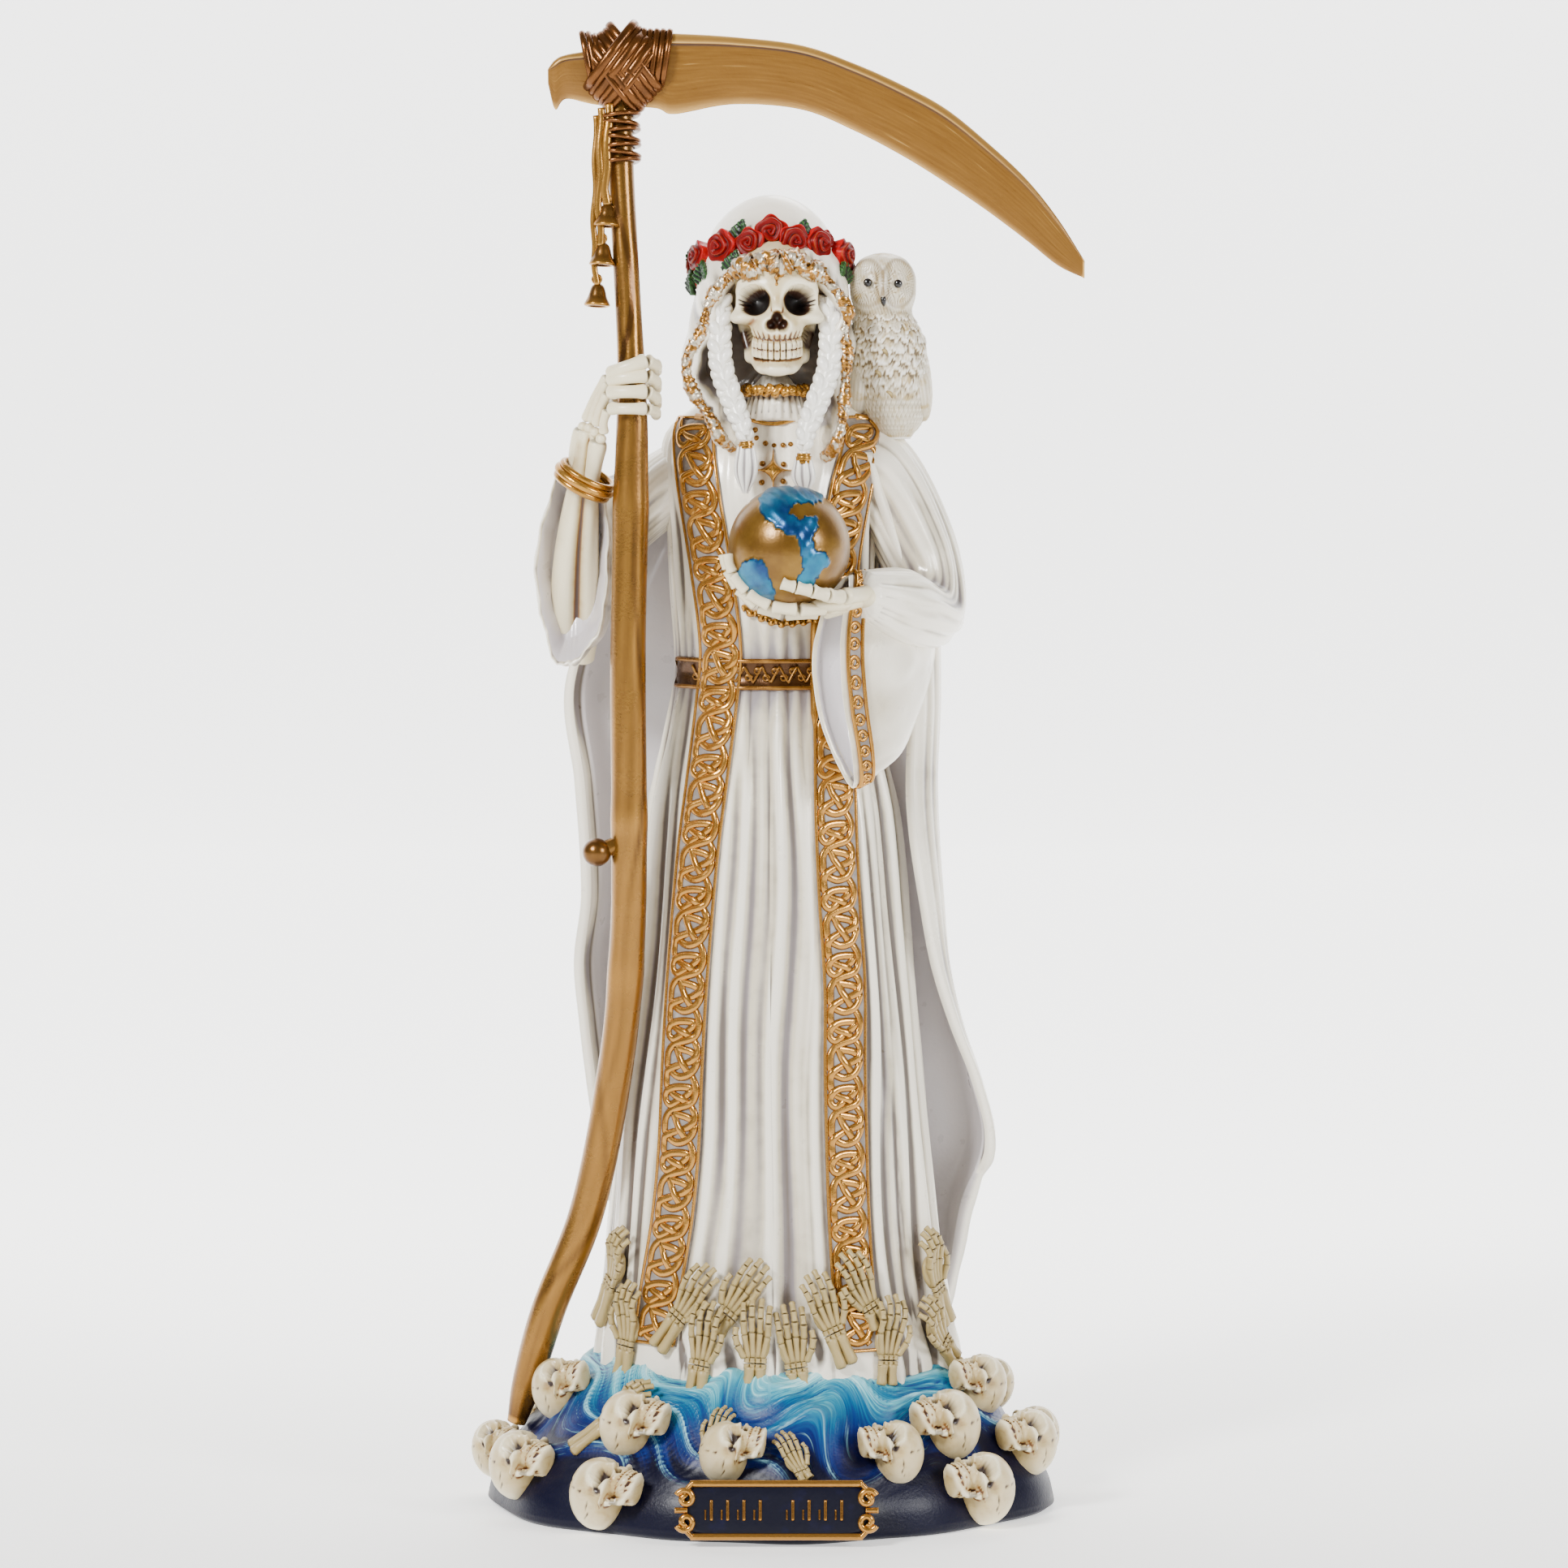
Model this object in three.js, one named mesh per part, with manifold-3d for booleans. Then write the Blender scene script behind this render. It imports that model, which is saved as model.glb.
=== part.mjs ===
// A robed skeleton saint of painted cast resin on a base of waves and skulls, with her scythe.
// The statue is one casting. The scythe is a second casting, which stands in her fist on the base.
// Millimetres, +Z up, front towards -Y, origin in the middle of the underside.
import * as THREE from "three";
import { ParametricGeometry } from "three/addons/geometries/ParametricGeometry.js";
import { mergeVertices } from "three/addons/utils/BufferGeometryUtils.js";
import Module from "manifold-3d";

const wasm = await Module();
wasm.setup();

// Driving sizes of the base
const baseHalfWidth = 79;
const baseFrontDepth = 66;
const baseBackDepth = 60;
const rimHeight = 13;
const waterHeight = 42;
const skullLength = 23;
const handLength = 19;
const plateWidth = 54.5;
const plateHeight = 16;
const plateProud = 3;
const frameWidth = 1.8;
// Driving sizes of the figure
const figureHeight = 321;
const globeRadius = 16.4;
const bandWidth = 11.6;
const bandProud = 1.2;
const beltHeight = 8.6;
const cloakThickness = 2.6;
const roseRadius = 3.6;
const braidRadius = 3.3;
// Driving sizes of the scythe
const shaftRadius = 4.8;
const shaftTopRadius = 3.5;
const bladeLength = 122;
const bladeWidth = 20;
const bladeThickness = 5;
const clearance = 0.35;

// The figure's tables are shares of its height, written as millimetres on a carving that stands
// from carvedWater to carvedTop. lift() and grow carry them to the real height.
const carvedWater = 42;
const carvedTop = 363;
const grow = figureHeight / (carvedTop - carvedWater);
const lift = (z) => waterHeight + (z - carvedWater) * grow;
const fig = (x, y, z) => new THREE.Vector3(x * grow, y * grow, lift(z));

const turn = 2 * Math.PI;
const degrees = THREE.MathUtils.degToRad;
const mix = THREE.MathUtils.lerp;
// Eases from 0 to 1 between two places, in either direction.
const smooth = (x, from, to) => THREE.MathUtils.smoothstep((x - from) / (to - from), 0, 1);

// Smooth values between the rows of a table, whose first column is the place.
function between(rows, at) {
  const last = rows.length - 1;
  const place = THREE.MathUtils.clamp(at, rows[0][0], rows[last][0]);
  let i = 0;
  while (i < last - 1 && place > rows[i + 1][0]) i++;
  const [low, high] = [rows[i], rows[i + 1]];
  const [before, after] = [rows[Math.max(i - 1, 0)], rows[Math.min(i + 2, last)]];
  const step = high[0] - low[0];
  const t = (place - low[0]) / step;
  return low.slice(1).map((value, k) => {
    const [a, b] = [value, high[k + 1]];
    const slopeA = ((b - before[k + 1]) / (high[0] - before[0])) * step;
    const slopeB = ((after[k + 1] - a) / (after[0] - low[0])) * step;
    return (
      a * (2 * t ** 3 - 3 * t ** 2 + 1) +
      b * (3 * t ** 2 - 2 * t ** 3) +
      slopeA * (t ** 3 - 2 * t ** 2 + t) +
      slopeB * (t ** 3 - t ** 2)
    );
  });
}

const mixed = (a, b, share) => a.clone().lerp(b, share);

// A table with its row number as the place.
const numbered = (rows) => rows.map((row, i) => [i, ...row]);

// A closed solid from a geometry: shared points are merged and its faces are turned outwards.
function solid(geometry) {
  geometry.deleteAttribute("normal");
  geometry.deleteAttribute("uv");
  const merged = mergeVertices(geometry, 1e-4);
  const index = merged.index.array;
  const kept = [];
  for (let i = 0; i < index.length; i += 3) {
    const [a, b, c] = index.slice(i, i + 3);
    if (a !== b && b !== c && a !== c) kept.push(a, b, c);
  }
  const vertProperties = merged.attributes.position.array;
  const made = (triVerts) =>
    new wasm.Manifold(
      new wasm.Mesh({ numProp: 3, vertProperties, triVerts: new Uint32Array(triVerts) }),
    );
  const first = made(kept);
  return first.volume() > 0 ? first : made([...kept].reverse());
}

// A closed body skinned over rings. ringAt gives the point at a share of the length and an angle.
// An end closes on its middle. The end of a sheet, whose ring goes out and comes back, closes on
// the line half way between the two.
function loft(ringAt, around, along, sheet = false) {
  const angleOf = (k) => ((k % around) / around) * turn;
  const middle = (share, k) => {
    if (sheet) {
      const back = around - 1 - (k % around);
      return mixed(ringAt(share, angleOf(k)), ringAt(share, angleOf(back)), 0.5);
    }
    const sum = new THREE.Vector3();
    for (let i = 0; i < around; i++) sum.add(ringAt(share, angleOf(i)));
    return sum.divideScalar(around);
  };
  const surface = (u, v, target) => {
    const row = Math.round(v * (along + 2));
    const k = Math.round(u * around);
    if (row === 0) target.copy(middle(0, k));
    else if (row === along + 2) target.copy(middle(1, k));
    else target.copy(ringAt((row - 1) / along, angleOf(k)));
  };
  return solid(new ParametricGeometry(surface, around, along + 2));
}

// A loft over ellipses. A row has a middle and two half axes, nine numbers of the carving.
function ellipses(table, around, along, bulge = () => 1) {
  const rows = numbered(table);
  return loft(
    (share, angle) => {
      const [x, y, z, px, py, pz, qx, qy, qz] = between(rows, share * (table.length - 1));
      const c = Math.cos(angle) * bulge(share, angle);
      const s = Math.sin(angle) * bulge(share, angle);
      return fig(x + px * c + qx * s, y + py * c + qy * s, z + pz * c + qz * s);
    },
    around,
    along,
  );
}

// A round bar along points, with a radius for each point.
function bar(points, radii, sides, along) {
  const curve = new THREE.CatmullRomCurve3(points);
  const rows = numbered(radii.map((r) => [r]));
  const frames = curve.computeFrenetFrames(along, false);
  return loft(
    (share, angle) => {
      const k = Math.round(share * along);
      const [radius] = between(rows, share * (radii.length - 1));
      return curve
        .getPoint(share)
        .addScaledVector(frames.normals[k], radius * Math.cos(angle))
        .addScaledVector(frames.binormals[k], radius * Math.sin(angle));
    },
    sides,
    along,
  );
}

const joined = (solids) => wasm.Manifold.union(solids);

// Fills the closed hollows that are left inside a casting.
function outerShell(made) {
  return joined(made.decompose().filter((shell) => shell.volume() > 0));
}

// Carries a solid from its own axes to a place: x across, y along, z out of the surface.
function placed(made, origin, alongWay, outWay) {
  const y = alongWay.clone().normalize();
  const x = y.clone().cross(outWay).normalize();
  const z = x.clone().cross(y);
  const matrix = new THREE.Matrix4().makeBasis(x, y, z).setPosition(origin);
  return made.transform(matrix.toArray());
}

// The base: a low mound of waves with a flat underside.
const baseRows = [
  // share of the way in from the rim, height: rim wall, slope, then the water at the hem
  [0, 0],
  [0.02, 0.55 * rimHeight],
  [0.06, rimHeight],
  [0.18, mix(rimHeight, waterHeight, 0.42)],
  [0.3, mix(rimHeight, waterHeight, 0.78)],
  [0.42, mix(rimHeight, waterHeight, 1)],
  [0.6, waterHeight],
];
const waveDepth = 1.6;

function baseRadius(angle) {
  const depth = Math.cos(angle) > 0 ? baseFrontDepth : baseBackDepth;
  const oval = 1 / Math.hypot(Math.sin(angle) / baseHalfWidth, Math.cos(angle) / depth);
  return oval * (1 + 0.015 * Math.sin(5 * angle + 1) + 0.012 * Math.sin(11 * angle));
}

// Angle 0 is the front and a quarter turn is the figure's left, +X.
function basePoint(angle, inward) {
  const radius = baseRadius(angle) * (1 - inward);
  const [height] = between(baseRows, inward);
  const swirl = Math.sin(7 * angle + 16 * inward) * Math.sin(13 * inward + 2 * angle + 0.5);
  const wave = waveDepth * swirl * smooth(inward, 0.06, 0.16);
  return new THREE.Vector3(radius * Math.sin(angle), -radius * Math.cos(angle), height + wave);
}

function baseMound() {
  const shares = [0, 0.01, 0.07, 0.16, 0.27, 0.4];
  return loft(
    (share, angle) => {
      const row = Math.round(share * (shares.length - 1));
      const point = basePoint(angle, shares[row]);
      if (row === 0) point.multiplyScalar(0.97).setZ(0);
      return point;
    },
    30,
    shares.length - 1,
  );
}

// The name plate: a raised frame with hollow ends and rows of short strokes for the lettering.
function plateOutline(width, height) {
  const notch = 0.22 * height;
  const shape = new THREE.Shape();
  shape.moveTo(-width / 2 + notch, -height / 2);
  shape.lineTo(width / 2 - notch, -height / 2);
  shape.quadraticCurveTo(width / 2 - notch / 2, -height / 4, width / 2, 0);
  shape.quadraticCurveTo(width / 2 - notch / 2, height / 4, width / 2 - notch, height / 2);
  shape.lineTo(-width / 2 + notch, height / 2);
  shape.quadraticCurveTo(-width / 2 + notch / 2, height / 4, -width / 2, 0);
  shape.quadraticCurveTo(-width / 2 + notch / 2, -height / 4, -width / 2 + notch, -height / 2);
  return shape;
}

function namePlate() {
  const depth = 9;
  const slab = (width, height, out) =>
    solid(
      new THREE.ExtrudeGeometry(plateOutline(width, height), {
        depth: depth + out,
        bevelEnabled: false,
        curveSegments: 2,
      }),
    );
  const inner = slab(plateWidth - 2 * frameWidth, plateHeight - 2 * frameWidth, 1);
  const frame = slab(plateWidth, plateHeight, 0).subtract(inner.translate([0, 0, depth - 0.8]));
  const strokes = [];
  const strokeCount = 9;
  for (let k = 0; k < strokeCount; k++) {
    const height = plateHeight * (k === 4 ? 0 : 0.34);
    if (!height) continue;
    const pitch = (plateWidth * 0.72) / strokeCount;
    const box = new THREE.BoxGeometry(pitch * 0.45, height, 1.2);
    strokes.push(solid(box).translate([(k - (strokeCount - 1) / 2) * pitch, 0, depth - 0.4]));
  }
  const plate = joined([frame, ...strokes]);
  const front = new THREE.Vector3(1.6, -baseRadius(0) - plateProud + depth, 0.58 * plateHeight);
  return placed(plate, front, new THREE.Vector3(0, 0.1, 1), new THREE.Vector3(0, -1, 0.1));
}

// A small skull along +Y from the back of its head to its teeth. Two points of a ring are drawn
// in for the eye sockets.
function smallSkull() {
  const rows = [
    // along, height of the middle, half width, half height, as shares of the skull's length
    [0.05, 0, 0.22, 0.2],
    [0.27, 0.03, 0.35, 0.34],
    [0.6, 0.01, 0.34, 0.33],
    [0.82, -0.05, 0.25, 0.26],
    [0.97, -0.12, 0.15, 0.17],
  ];
  const bearings = [-32, 18, 62, 118, 162, 212];
  const socketRow = 3;
  const sockets = [2, 3];
  return loft(
    (share, angle) => {
      const row = Math.round(share * (rows.length - 1));
      const corner = Math.round((angle / turn) * bearings.length);
      const [along, rise, width, height] = rows[row];
      const pit = row === socketRow && sockets.includes(corner) ? 1 : 0;
      const radius = skullLength * (1 - 0.42 * pit);
      const bearing = degrees(bearings[corner]);
      return new THREE.Vector3(
        radius * width * Math.cos(bearing),
        skullLength * (along - 0.1 * pit),
        skullLength * rise + radius * height * Math.sin(bearing),
      );
    },
    bearings.length,
    rows.length - 1,
  );
}

// Where the skulls lie: angle round the base, share in from the rim, height above the surface, the
// way the face points (a compass angle seen from the front, 0 up, 90 to the right), and size.
const skullPlaces = [
  [-73.5, 0.25, 0, 62, 1],
  [-40.5, 0.215, 0, 80, 1.12],
  [-66, 0.065, 0, 72, 1.12],
  [-94, 0.05, 0, 60, 0.95],
  [-99, 0.17, 0, 60, 0.9],
  [-40, 0.035, 0, 55, 1.15],
  [-9.5, 0.14, 0, 95, 1],
  [32, 0.14, 0, -50, 1.02],
  [51.5, 0.19, 0, -68, 1.15],
  [72.5, 0.275, 0, -62, 1],
  [98, 0.23, 0, -60, 0.85],
  [73, 0.105, 0, -62, 1.08],
  [97, 0.08, 0, -60, 0.95],
  [52, 0.035, 0, -60, 1.15],
  [150, 0.14, 0, 60, 1],
  [-140, 0.14, 0, -70, 1],
];

function baseSkulls() {
  const skull = smallSkull();
  return skullPlaces.map(([bearing, inward, rise, heading, size]) => {
    const angle = degrees(bearing);
    const point = basePoint(angle, inward);
    const out = new THREE.Vector3(Math.sin(angle), -Math.cos(angle), 0.75).normalize();
    const across = new THREE.Vector3(Math.cos(angle), Math.sin(angle), 0);
    const up = out.clone().cross(across).negate();
    const way = across
      .multiplyScalar(Math.sin(degrees(heading)))
      .addScaledVector(up, Math.cos(degrees(heading)));
    const reach = skullLength * size;
    const start = point.addScaledVector(way, -0.45 * reach).addScaledVector(out, rise + 0.12 * reach);
    return placed(skull.scale([size, size, size]), start, way, out);
  });
}

// The gown, its pleats and the places of the two bands on it.
const gownRows = [
  // height, middle, half width, half depth in front, half depth behind, depth of the folds
  [34, 1.5, 51.5, 41, 36, 1],
  [45, 1.8, 50, 39.5, 35, 1.2],
  [60, 1.2, 47.5, 37.5, 34, 1.5],
  [84, 0.7, 44.5, 35, 32, 1.6],
  [124, 0, 41, 32, 29, 1.5],
  [160, 0, 37.5, 29.5, 27, 1.3],
  [192, 0, 34, 27, 25, 1.1],
  [215, 0.3, 29.5, 24, 22, 0.8],
  [231, 0.6, 27.2, 22, 21, 0.2],
  [250, 0.6, 28, 23.5, 21, 0.4],
  [270, 0.6, 29, 24, 20, 0.4],
  [286, 0.6, 30.5, 22.5, 18, 0.2],
  [298, 0.8, 29, 17, 15, 0],
  [306, 1, 20, 12, 12, 0],
  [313, 1.2, 10, 9, 9, 0],
];
const foldCount = 16;
const bandRows = {
  right: [
    // height, place of the band's middle line
    [48, -31.5],
    [64, -29.5],
    [83, -26.5],
    [101, -24.8],
    [124, -23.8],
    [147, -22.5],
    [183, -19.5],
    [206, -16.6],
    [224, -14.4],
    [238, -13.3],
    [260, -15.8],
    [283, -19.4],
    [298, -20.4],
  ],
  left: [
    [47, 23.6],
    [64, 22.2],
    [83, 21],
    [101, 20.4],
    [124, 19.9],
    [147, 19.8],
    [169, 18.4],
    [192, 17.4],
    [215, 17.1],
    [238, 16.8],
    [260, 17.8],
    [283, 21.6],
    [298, 25],
  ],
};
const sides = Object.keys(bandRows);

function gownPoint(angle, height, proud = 0) {
  const [middle, width, front, back, depth] = between(gownRows, height);
  const x = width * Math.sin(angle);
  const inFront = Math.cos(angle) > 0;
  const wave =
    0.65 * Math.cos(foldCount * angle + 0.9 * Math.sin(height / 45)) +
    0.35 * Math.cos(9 * angle + 1.7 + height / 60);
  const flat = inFront
    ? Math.min(
        ...sides.map((side) =>
          smooth(Math.abs(middle + x - between(bandRows[side], height)[0]), 5.5, 9),
        ),
      )
    : 1;
  const out = depth * wave * flat + proud / grow;
  return fig(
    middle + (width + out) * Math.sin(angle),
    -((inFront ? front : back) + out) * Math.cos(angle),
    height,
  );
}

function gown() {
  const [foot, top] = [gownRows[0][0], gownRows[gownRows.length - 1][0]];
  return loft(
    (share, angle) => gownPoint(angle - 0.45 * Math.sin(angle), mix(foot, top, share)),
    36,
    10,
  );
}

// The angle at which a point of the gown stands at a place across it.
function gownAngle(x, height) {
  const [middle, width] = between(gownRows, height);
  return Math.asin(THREE.MathUtils.clamp((x - middle) / width, -0.98, 0.98));
}

// A band across its width: place in half widths, then how far it stands out. Two strands swing
// between the borders, cross in the middle and leave an eye between two crossings.
const knotPitch = 15;
const strandProud = 0.9;

function bandSection(phase) {
  const crossing = 0.5 + 0.5 * Math.cos(phase);
  return [
    [-1, -2.5],
    [1, -2.5],
    [1, bandProud],
    [0.5, bandProud + strandProud * (0.75 - 1.25 * crossing)],
    [0, bandProud + strandProud * (1.25 * crossing - 0.5)],
    [-0.5, bandProud + strandProud * (0.75 - 1.25 * crossing)],
    [-1, bandProud],
  ];
}

function band(side) {
  const rows = bandRows[side];
  const [foot, top] = [rows[0][0], rows[rows.length - 1][0]];
  const half = bandWidth / 2 / grow;
  const steps = 2 * Math.round((top - foot) / knotPitch);
  return loft(
    (share, angle) => {
      const height = mix(foot, top, share);
      const section = bandSection(Math.PI * Math.round(share * steps));
      const [across, proud] = section[Math.round((angle / turn) * section.length)];
      const x = between(rows, height)[0] + half * across;
      return gownPoint(gownAngle(x, height), height, proud);
    },
    7,
    steps,
  );
}

// The belt shows in front only and runs into the gown at the sides.
function belt() {
  const half = beltHeight / 2 / grow;
  const section = [
    [-half, -3],
    [-half, 1.1],
    [half, 1.1],
    [half, -3],
  ];
  return loft(
    (share, angle) => {
      const [rise, proud] = section[Math.round((angle / turn) * section.length)];
      return gownPoint(degrees(mix(-72, 72, share)), 231.5 + rise, proud);
    },
    section.length,
    12,
  );
}

// The cloak: one sheet from its right edge round the back to its left edge.
const cloakRows = [
  // height, half width on the right (-X), on the left (+X), depth behind
  [36, 40, 52, 48],
  [60, 42, 55, 46],
  [82, 46.7, 57, 44],
  [100, 49.5, 62.3, 42],
  [117, 52, 59, 40],
  [133, 54, 53.5, 38.5],
  [150, 55.4, 49.5, 36.5],
  [169, 53.2, 48, 35],
  [200, 55, 46.3, 32],
  [226, 58, 47.2, 29],
  [250, 50, 46, 26],
  [270, 40, 40, 23],
  [292, 30, 31, 18],
];
const cloakHem = [
  // share of the way round, height of the hem
  [0, 83],
  [0.07, 79],
  [0.14, 62],
  [0.2, 38],
  [0.5, 36],
  [0.8, 38],
  [0.87, 60],
  [0.93, 84],
  [1, 99],
];
const cloakFolds = 11;

function cloakPoint(around, share, inset) {
  const [hem] = between(cloakHem, around);
  const height = mix(hem, 292, share);
  const [right, left, back] = between(cloakRows, height);
  const leftEdge = mix(58, 85, smooth(height, 200, 95));
  const angle = degrees(mix(262, leftEdge, around));
  const sine = Math.sin(angle);
  const cosine = Math.cos(angle);
  const behind = Math.max(-cosine, 0);
  const fold = 1.6 * Math.sin(cloakFolds * angle) * smooth(height, 290, 200) * behind;
  const width = (sine < 0 ? right : left) + fold - inset;
  const depth = (cosine < 0 ? back : 25) + fold - inset;
  return fig(width * sine, -depth * cosine, height);
}

// Its edges are a free sheet, and behind the figure it is solid with the gown.
function cloak() {
  const half = 12;
  return loft(
    (share, angle) => {
      const k = Math.round((angle / turn) * 2 * half);
      const around = (k < half ? k : 2 * half - 1 - k) / (half - 1);
      const buried = smooth(Math.abs(around - 0.5), 0.36, 0.24);
      const inset = k < half ? 0 : mix(cloakThickness / grow, 16, buried);
      return cloakPoint(around, share, inset);
    },
    2 * half,
    8,
    true,
  );
}

// Arms and hanging sleeves. Each row is a middle and two half axes of an ellipse.
const rightSleeve = [
  [-20, 2, 288, 0, 10, 0, 3, 0, 13],
  [-36, 2, 276, -1, 11, 0, 4, 0, 16],
  [-47, -2, 264, -7.5, 8.5, 0, 3, 0, 21],
  [-53, -11, 261, -10.5, 2.5, 0, 1, 1, 26.5],
  [-54, -20, 261.5, -10.3, 1, 0, 1, 2, 27.8],
  [-54, -20.4, 261.5, -9, 1, 0, 1, 2, 26],
  [-53.5, -14.5, 262, -6.5, 1, 0, 1, 1, 21],
];
const leftArm = [
  [16, 1, 291, 4, 0, 12, 0, 11, 0],
  [29.5, 0, 284, 8, 0, 9.5, 0, 12, 0],
  [40, -3, 265, 10, 0, 4, 0, 11.5, 0],
  [43, -9, 250, 10, -2, -2, 2, 8, -8],
  [35, -25, 250, 9, -5, 0, 0, 0, -10.5],
  [24, -37, 254, 5, -3.5, 0, 0, 0, -6.5],
];
const leftSleeve = [
  [41, -7, 243, 4, -1.5, 0, 2, 2, -12],
  [36.5, -17, 239, 5, -2.5, 0, 2.5, 1, -19],
  [30, -27, 234, 6, -3.2, 0, 3.5, 0, -25],
  [23.5, -36, 231, 6.5, -3.5, 0, 4.2, 0, -28.5],
  [23, -36.6, 231, 5, -2.8, 0, 4, 0, -26.5],
  [28, -29, 233, 3.6, -2, 0, 3.2, 0, -21],
];

// The cloth gathers in soft ridges along each sleeve.
const gathered = (count) => (share, angle) => 1 + 0.035 * Math.cos(count * angle);

// The hood opens round the face and falls to the chest.
const hoodRows = [
  [1, 25, 331, 6, 0, 0, 0, 0, 13],
  [0.5, 21, 329, 15, 0, 0, 0, 0, 25],
  [0, 12, 327, 20, 0, 0, 0, 0, 33],
  [0, 0, 325, 21, 0, 0, 0, 0, 37.5],
  [0.5, -11, 321, 22.5, 0, 0, 0, 0, 34],
  [1.5, -20, 318, 21, 0, 0, 0, 1, 28],
  [1.5, -20.5, 318.5, 18, 0, 0, 0, 1, 25.5],
  [1.2, -11, 320, 16, 0, 0, 0, 0, 22],
];
// The hood is wider below than above, so it reads as a cowl.
const cowl = (share, angle) => 1 + 0.06 * Math.cos(6 * angle) * (1 - share) - 0.05 * Math.sin(angle);

// The head: rings from the chin up, each with a middle, half width and half depth.
const skullRows = [
  [311.8, -21.5, 4.6, 5],
  [314.5, -21, 8, 7.4],
  [319, -20, 8.8, 8.2],
  [324, -19, 9.8, 8.6],
  [327.5, -18, 12.8, 9.3],
  [331, -16.5, 12.8, 9.8],
  [335, -15.5, 12, 11.2],
  [340, -13.5, 12, 11],
  [344.5, -10, 10, 9.5],
  [347.5, -7, 6, 6],
];

function faceSkull() {
  const [low, high] = [skullRows[0][0], skullRows[skullRows.length - 1][0]];
  const middleX = 1.2;
  const head = loft(
    (share, angle) => {
      const height = mix(low, high, share);
      const [y, width, depth] = between(skullRows, height);
      return fig(middleX + width * Math.cos(angle), y + depth * Math.sin(angle), height);
    },
    12,
    9,
  );
  const pit = (x, z, radius) => {
    const at = fig(middleX + x, -27.5, z);
    const ball = solid(new THREE.IcosahedronGeometry(radius * grow));
    return ball.scale([1, 1.3, 1]).translate(at.toArray());
  };
  const nose = solid(new THREE.ConeGeometry(2.4 * grow, 5.2 * grow, 4));
  const teeth = [];
  const teethCount = 4;
  for (let k = 0; k < teethCount; k++) {
    const turned = (k - (teethCount - 1) / 2) * 0.34;
    const box = new THREE.BoxGeometry(2.6 * grow, 1.6 * grow, 5 * grow);
    box.rotateZ(turned);
    const at = fig(middleX + 8.9 * Math.sin(turned), -19.8 - 8.9 * Math.cos(turned), 320);
    teeth.push(solid(box).translate(at.toArray()));
  }
  const holes = [
    pit(-6, 332.8, 3.7),
    pit(6, 332.8, 3.7),
    nose.rotate([180, 0, 40]).translate(fig(middleX + 0.07, -28, 327.6).toArray()),
  ];
  return [head.subtract(joined(holes)), ...teeth];
}

// The two braids, each a twisted three-lobed bar that ends in a loose tuft.
function braid(side) {
  const path = [
    [10 + 8 * 0.9, -16, 330],
    [18.4, -21, 319],
    [14.5, -24.5, 306],
    [10, -27, 297],
    [9, -28, 289],
    [8.5, -27.5, 283],
  ];
  const points = path.map(([x, y, z]) => fig(1.2 + side * (x - 0.6), y, z));
  const curve = new THREE.CatmullRomCurve3(points);
  const steps = 10;
  const frames = curve.computeFrenetFrames(steps, false);
  const thick = numbered([[0.75], [1], [1], [0.85], [0.5], [0.95], [0.35]]);
  return loft(
    (share, angle) => {
      const k = Math.round(share * steps);
      const lobe = 1 + 0.22 * Math.cos(2 * angle + side * share * 26);
      const radius = braidRadius * grow * between(thick, share * 6)[0] * lobe;
      return curve
        .getPoint(share)
        .addScaledVector(frames.normals[k], radius * Math.cos(angle))
        .addScaledVector(frames.binormals[k], radius * Math.sin(angle));
    },
    4,
    steps,
  );
}

// The crown: roses round the brow, and leaves between them.
const crownRoses = [
  // bearing from the front, height, size
  [-92, 345, 0.95],
  [-70, 347.5, 1],
  [-44, 350, 1.12],
  [-18, 351, 1],
  [0, 354, 1.1],
  [19, 351.5, 1.1],
  [42, 350.8, 1.05],
  [70, 348, 1],
];
const crownLeaves = [
  [-31, 356, 0.2],
  [-58, 343, -0.3],
  [30, 356, 0.3],
];

function crownPoint(angle, height) {
  const inward = 1 - 0.045 * Math.max(height - 348, 0);
  return fig(0.5 + 18.5 * inward * Math.sin(angle), -1 - 16.5 * inward * Math.cos(angle), height);
}

function rose([bearing, height, size]) {
  const angle = degrees(bearing);
  const rows = [[-0.8, 0.95], [0.8, 1], [0.5, 0.45]];
  const bloom = loft(
    (share, turned) => {
      const [out, width] = rows[Math.round(share * 2)];
      const radius = roseRadius * size * width * (1 + 0.08 * Math.cos(turned));
      return new THREE.Vector3(
        radius * Math.cos(turned),
        radius * Math.sin(turned),
        roseRadius * size * out,
      );
    },
    5,
    2,
  );
  const out = new THREE.Vector3(Math.sin(angle), -Math.cos(angle), 0.15);
  return placed(bloom, crownPoint(angle, height), new THREE.Vector3(0, 0, 1), out);
}

function leaf([bearing, height, tilt]) {
  const angle = degrees(bearing);
  const shape = solid(new THREE.OctahedronGeometry(1)).scale([2.2, 4.2, 2.6]);
  const out = new THREE.Vector3(Math.sin(angle), -Math.cos(angle), 0.2);
  const way = new THREE.Vector3(Math.cos(angle) * tilt, Math.sin(angle) * tilt, 1);
  return placed(shape, crownPoint(angle, height), way, out);
}

function ellipsoid(a, b, c, around, along) {
  return solid(new THREE.SphereGeometry(1, around, along)).scale([a, b, c]);
}

function crown() {
  return [...crownRoses.map(rose), ...crownLeaves.map(leaf)];
}

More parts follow.
